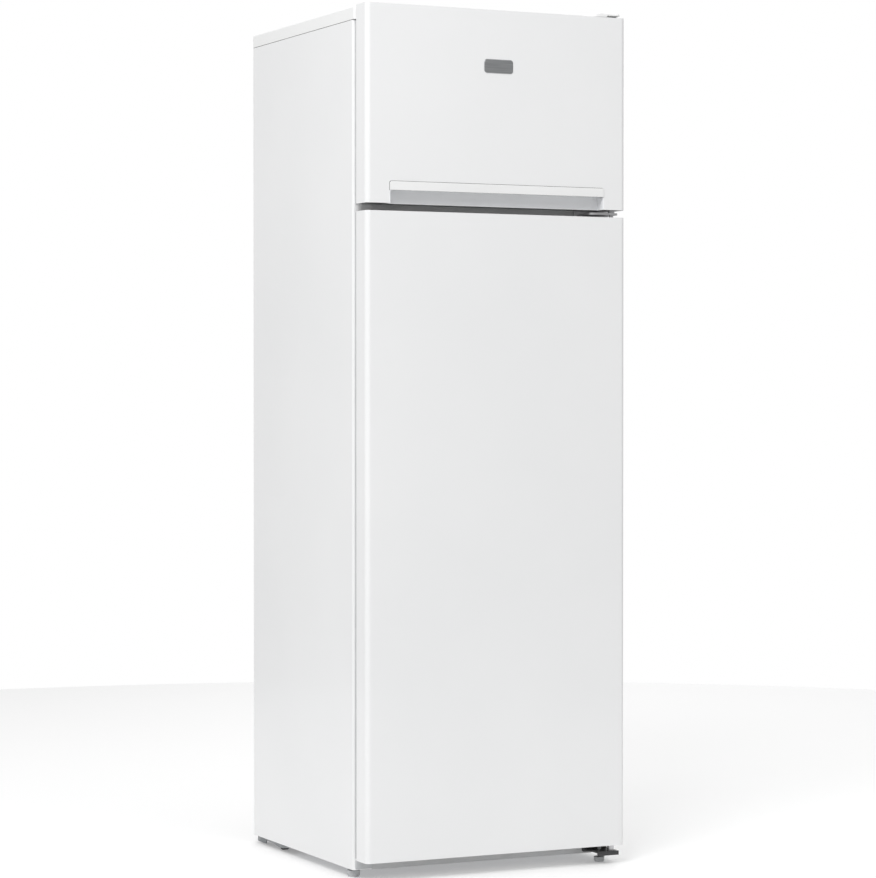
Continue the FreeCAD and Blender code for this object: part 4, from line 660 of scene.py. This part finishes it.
pocket_grey, tree, shader = finish("pocket_grey", (0.86, 0.87, 0.885), 0.36)
tones(tree, shader, noise(tree, 3.0, 2.0, (1.0, 1.0, 6.0)), (0.84, 0.85, 0.865), (0.88, 0.89, 0.905))
gloss_patches(tree, shader, noise(tree, 25.0), 0.3, 0.42)
relief(tree, shader, noise(tree, 2000.0, 1.0), 0.1, 0.0002)
dress(pocket_grey, "handle_cup")

strip_low, strip_high = box_mm("handle_lip")
strip_half = strip_high[0]
strip_face = strip_low[1]
strip_back = strip_high[1]
strip_bottom = strip_low[2] - 0.5
strip_top = strip_high[2]
strip_seam = 1.0
strip_levels = [(strip_seam, strip_seam, strip_back), (strip_seam, strip_seam, strip_face + 0.8),
                (0.8, 0.8, strip_face + 0.3), (1.3, 1.3, strip_face + 0.05), (2.2, 2.2, strip_face)]
strip = upright(stacked(strip_levels, -strip_half, strip_half, strip_bottom, strip_top,
                        [1.2, 1.2, 4.5, 4.5], 6))
piece("pull_strip", [grid(strip, closed_columns=True, caps=True)], moulded, "freezer_door",
      ("handle_lip",))
# A black plate behind the pull strip shows as a thin dark ring round it: painted shade for the shadow gap.
gap_shade_levels = [(0.1, 0.1, strip_back - 0.2), (0.1, 0.1, strip_back - 0.6),
                  (1.6, 1.6, strip_back - 0.6)]
gap_shade = upright(stacked(gap_shade_levels, -strip_half, strip_half, strip_bottom + 0.6, strip_top,
                          [0.5, 0.5, 4.5, 4.5], 6))
piece("strip_gap_shade", [grid(gap_shade, closed_columns=True)], rubber_and_shade, "freezer_door")

# ---- Badge --------------------------------------------------------------------------------
# A blank, slightly domed plate of satin aluminium, glued to the freezer door.
satin_metal, tree, shader = finish("badge_metal", (0.42, 0.43, 0.44), 0.3, metallic=1.0)
tones(tree, shader, noise(tree, 500.0, 1.0, (0.04, 1.0, 1.0)), (0.38, 0.39, 0.40), (0.46, 0.47, 0.48))
gloss_patches(tree, shader, noise(tree, 300.0, 1.0, (0.1, 1.0, 1.0)), 0.24, 0.4)
plate_low, plate_high = box_mm("badge")
plate_profile = [(0.0, -0.1), (0.0, 0.4), (0.3, 0.65), (1.2, 0.85), (4.0, 1.05), (8.0, 1.16), (12.0, 1.2)]
plate_levels = [(inset, inset, plate_high[1] - rise) for inset, rise in plate_profile]
plate = upright(stacked(plate_levels, plate_low[0], plate_high[0], plate_low[2], plate_high[2],
                        [6.0] * 4, 4))
piece("blank_badge", [grid(plate, closed_columns=True, caps=True)], satin_metal, "freezer_door",
      ("badge",))

# ---- Door seals ---------------------------------------------------------------------------
# Extruded soft PVC, mitred and welded at the corners: a base pressed in the liner's groove, two
# bellows folds each side, and a flat bag with the magnet strip against the cabinet. On the
# handle side a soft lip reaches out and closes the gap.
seal, tree, shader = finish("seal_pvc", (0.50, 0.505, 0.51), 0.55)
tones(tree, shader, noise(tree, 25.0), (0.48, 0.485, 0.49), (0.52, 0.525, 0.53))
relief(tree, shader, noise(tree, 700.0, 1.0), 0.1, 0.0002)

seal_profile = [(-4.0, 0.0), (18.0, 0.0), (18.0, 1.4), (16.0, 1.9), (12.0, 2.1), (10.6, 2.9),
                (12.4, 3.8), (11.0, 4.7), (13.2, 5.5), (14.0, 6.2), (13.9, 7.2), (13.2, 7.6),
                (0.8, 7.6), (0.1, 7.2), (0.0, 6.2), (0.8, 5.5), (3.0, 4.7), (1.6, 3.8),
                (3.4, 2.9), (2.0, 2.1), (-2.0, 1.9), (-4.0, 1.4)]
seal_foot = 4.0
lip_end_gap = 1.5
lip_under_cover = 2.0
for door in ("freezer_door", "fridge_door"):
    seal_low, seal_high = box_mm(door + "_gasket")
    skin_low, skin_high = box_mm(door + "_skin")
    loop_levels = [(inset, inset, seal_low[1] + rise) for inset, rise in seal_profile]
    loop = upright(stacked(loop_levels, seal_low[0] + seal_foot, seal_high[0] - seal_foot,
                           seal_low[2] + seal_foot, seal_high[2] - seal_foot, [6.0] * 4, 10))
    root_x = seal_low[0] + 5.0
    tip_x = skin_low[0] + 4.0
    face_y = seal_high[1]
    lip_line = np.array([(root_x, face_y - 2.0), (tip_x + 0.8, face_y - 2.2), (tip_x, face_y - 1.6),
                         (tip_x, face_y - 0.8), (tip_x + 0.8, face_y - 0.3), (root_x, face_y - 0.3)])
    lip_z0 = skin_low[2] + lip_end_gap
    lip_z1 = min(skin_high[2] - lip_end_gap, cover_low[2] - lip_under_cover)
    lip = [np.column_stack([lip_line, np.full(len(lip_line), z)]) for z in (lip_z0, lip_z1)]
    piece(door + "_seal", [grid(loop, True, True), grid(np.array(lip), closed_columns=True, caps=True)],
          seal, door, (door + "_gasket",))

# ---- Door bins ----------------------------------------------------------------------------
# Clear polystyrene bins. The lower ends are drawn in so that a shoulder at each end hooks over
# the liner's upstands, and a thicker rim runs along the inner long side.
shoulder = 7.5
bins = [("freezer_bin", "freezer_door_bin", 0.0), ("lower_bin", "fridge_door_bin_lower", 3.0),
        ("middle_bin", "fridge_door_bin_middle", 3.0), ("upper_bin", "fridge_door_bin_upper", 3.0)]
for body, node, rim_inside in bins:
    (_, bin_back, z0), (half, front, z1) = box_mm(node)
    front -= rim_inside
    bin_levels = [(shoulder + 3.0, 3.0, z0), (shoulder + 0.9, 0.9, z0 + 0.9), (shoulder, 0.0, z0 + 3.0),
                  (shoulder, 0.0, z0 + 12.4), (0.8, 0.0, z0 + 13.4), (0.0, 0.0, z0 + 14.4),
                  (0.0, 0.0, z1 - 9.0), (0.0, 0.0, z1 - 8.0), (0.0, 0.0, z1 - 0.9), (0.7, 0.7, z1),
                  (1.8, 1.8, z1), (2.5, 2.5, z1 - 0.8), (2.5, 2.5, z0 + 16.4), (3.2, 2.5, z0 + 15.4),
                  (shoulder + 2.5, 2.5, z0 + 14.6), (shoulder + 2.5, 2.5, z0 + 5.0),
                  (shoulder + 3.4, 3.4, z0 + 3.2), (shoulder + 5.5, 5.5, z0 + 2.5)]
    tub = stacked(bin_levels, -half, half, bin_back, front, [3.0, 3.0, 16.0, 16.0], 4)
    rim_rows = slice(7, 10)
    forward = np.clip((tub[rim_rows, :, 1] - (front - 18.0)) / 12.0, 0.0, 1.0)
    tub[rim_rows, :, 1] += 3.0 * forward ** 2 * (3 - 2 * forward)
    piece(body + "_tub", [grid(tub, closed_columns=True, caps=True)], clear, body, (node,))

# ---- Blank for the spare hinge holes ------------------------------------------------------
# The doors can be hung on either side, so a grey moulded plate closes the left-hand hinge's screw holes
# under the fridge door. Its grey is also painted shade for the corner under the door.
rail_face_y = box_mm("bottom_front_rail")[0][1]
blank_and_shade_levels = [(inset, inset, rail_face_y - out) for inset, out in
                ((0.0, 0.0), (0.0, 1.6), (0.4, 2.2), (1.2, 2.5))]
blank_and_shade = upright(stacked(blank_and_shade_levels, side_low[0] + 4.0, side_high[0] + 2.0, side_low[2] + 1.5,
                        side_low[2] + 19.0, [3.0] * 4))
piece("hinge_blank_and_shade", [grid(blank_and_shade, closed_columns=True, caps=True)], grey, "cabinet")

# ---- Hinges -------------------------------------------------------------------------------
# Zinc-plated steel plates with pressed pins turning in white nylon bushes; the bottom plate is
# painted black. Cross-head screws hold them to the cabinet.
plated, tree, shader = finish("plated_steel", (0.60, 0.60, 0.61), 0.3, metallic=1.0)
tones(tree, shader, noise(tree, 40.0, 3.0), (0.52, 0.52, 0.53), (0.66, 0.66, 0.67))
gloss_patches(tree, shader, noise(tree, 150.0), 0.22, 0.42)
dress(plated, "middle_hinge_bracket", "hinge_pins", "fasteners")
dress(dull_plate_and_shade, "top_hinge_bracket")
dress(black, "bottom_hinge_bracket")
nylon, tree, shader = finish("bush_nylon", (0.80, 0.80, 0.78), 0.45)
tones(tree, shader, noise(tree, 60.0), (0.76, 0.76, 0.74), (0.82, 0.82, 0.80))
dress(nylon, "freezer_door_bushes", "fridge_door_bushes")

# ---- Top hinge cover ----------------------------------------------------------------------
# White snap-on cap with rounded edges. Its left end slopes down to the cabinet's top, and its
# front part is cut higher underneath so that the door passes below.
(cap_left, cap_front, cap_z0), (cap_right, cap_back, cap_z1) = box_mm("top_hinge_cover")
cap_levels = [(2.0, 2.0, cap_z0), (0.0, 0.0, cap_z0), (0.0, 0.0, cap_z1 - 2.6), (0.25, 0.25, cap_z1 - 1.5),
              (0.9, 0.9, cap_z1 - 0.6), (2.0, 2.0, cap_z1), (6.0, 6.0, cap_z1), (16.0, 16.0, cap_z1)]
cap_net = stacked(cap_levels, cap_left, cap_right, cap_front, cap_back, [24.0, 8.0, 5.0, 5.0], 24)
ceiling = cap_z0 + 2.0 + np.maximum(cap_net[..., 0] - cap_left + 1.0, 0.0) * 7.0 / 23.0
cap_net[..., 2] = np.minimum(cap_net[..., 2], ceiling)
over_door = cap_net[..., 1] < cap_front + 51.0
over_pin = over_door & (cap_net[..., 0] > cap_right - 30.0)
underside = np.where(over_pin, cap_z0 + 3.4, np.where(over_door, cap_z0 + 0.4, cap_z0))
cap_net[..., 2] = np.maximum(cap_net[..., 2], underside)
piece("hinge_cap", [grid(cap_net, closed_columns=True, caps=True)], moulded, "cabinet",
      ("top_hinge_cover",))

# ---- Front feet ---------------------------------------------------------------------------
# Moulded grey hexagonal feet on steel screws, chamfered at the sole and at the top. The thread
# is a screw line of 1.25 mm pitch.
foot_grey, tree, shader = finish("foot_grey", (0.46, 0.47, 0.48), 0.45)
tones(tree, shader, noise(tree, 120.0), (0.42, 0.43, 0.44), (0.50, 0.51, 0.52))
relief(tree, shader, noise(tree, 1200.0, 1.0), 0.2, 0.0003)
thread_pitch = 1.25
thread_depth = 0.65
stem_radius = 4.0
stem_root = 3.0
for body, node, height in (("left_foot", "front_left_foot", 12.0), ("right_foot", "front_right_foot", 10.0)):
    foot_low, foot_high = box_mm(node)
    x, y, _ = middle(node)
    flats = foot_high[1] - foot_low[1]
    stem_top = foot_high[2]
    foot_turn = np.linspace(0, 2 * np.pi, 96, endpoint=False)
    flat_reach = flats / 2 / np.cos(np.mod(foot_turn, np.pi / 3) - np.pi / 6)
    pad_rows = [(0.0, 0.0), (0.0, flats / 2 - 1.5), (height * 0.3, flats / 2 + 0.2),
                (height - 1.2, flats / 2 + 4.0), (height - 0.5, flats / 2 + 1.2),
                (height, flats / 2 - 0.4), (height, stem_root)]
    pad = []
    for z, limit in pad_rows:
        radius = np.minimum(flat_reach, limit)
        pad.append(np.column_stack([x + radius * np.cos(foot_turn), y + radius * np.sin(foot_turn),
                                    np.full(len(foot_turn), z)]))
    stem_z = np.arange(height, stem_top + 0.01, thread_pitch / 6)
    stem_turn = np.linspace(0, 2 * np.pi, 32, endpoint=False)
    phase = np.mod(stem_z[:, None] / thread_pitch - stem_turn / (2 * np.pi), 1.0)
    stem_r = stem_radius - thread_depth * np.abs(2 * phase - 1)
    stem_r[0] = stem_root
    stem_r[-1] = stem_root
    stem = np.stack([x + stem_r * np.cos(stem_turn), y + stem_r * np.sin(stem_turn),
                     np.repeat(stem_z[:, None], len(stem_turn), axis=1)], axis=-1)
    piece(node + "_turned", [grid(np.array(pad), closed_columns=True),
                             grid(stem, closed_columns=True, caps=True)],
          foot_grey, body, (node,), sharp=25.0)

# ---- Rear rollers -------------------------------------------------------------------------
# Black moulded transport rollers on the tray's axle bars: a flat tyre with softened shoulders,
# a sunk web and a longer hub.
roller_half_line = [(7.5, 3.06), (7.5, 5.4), (7.1, 5.9), (4.2, 6.2), (3.4, 7.0), (3.4, 10.6),
                    (4.2, 11.6), (5.6, 12.0), (6.0, 12.6), (5.7, 13.5), (4.9, 14.0)]
roller_line = roller_half_line + [(-a, r) for a, r in roller_half_line[::-1]]
for body, node in (("left_roller", "rear_left_roller"), ("right_roller", "rear_right_roller")):
    piece(node + "_turned", [turned(roller_line, middle(node), "x", 72, closed=True)], black_plastic,
          body, (node,))
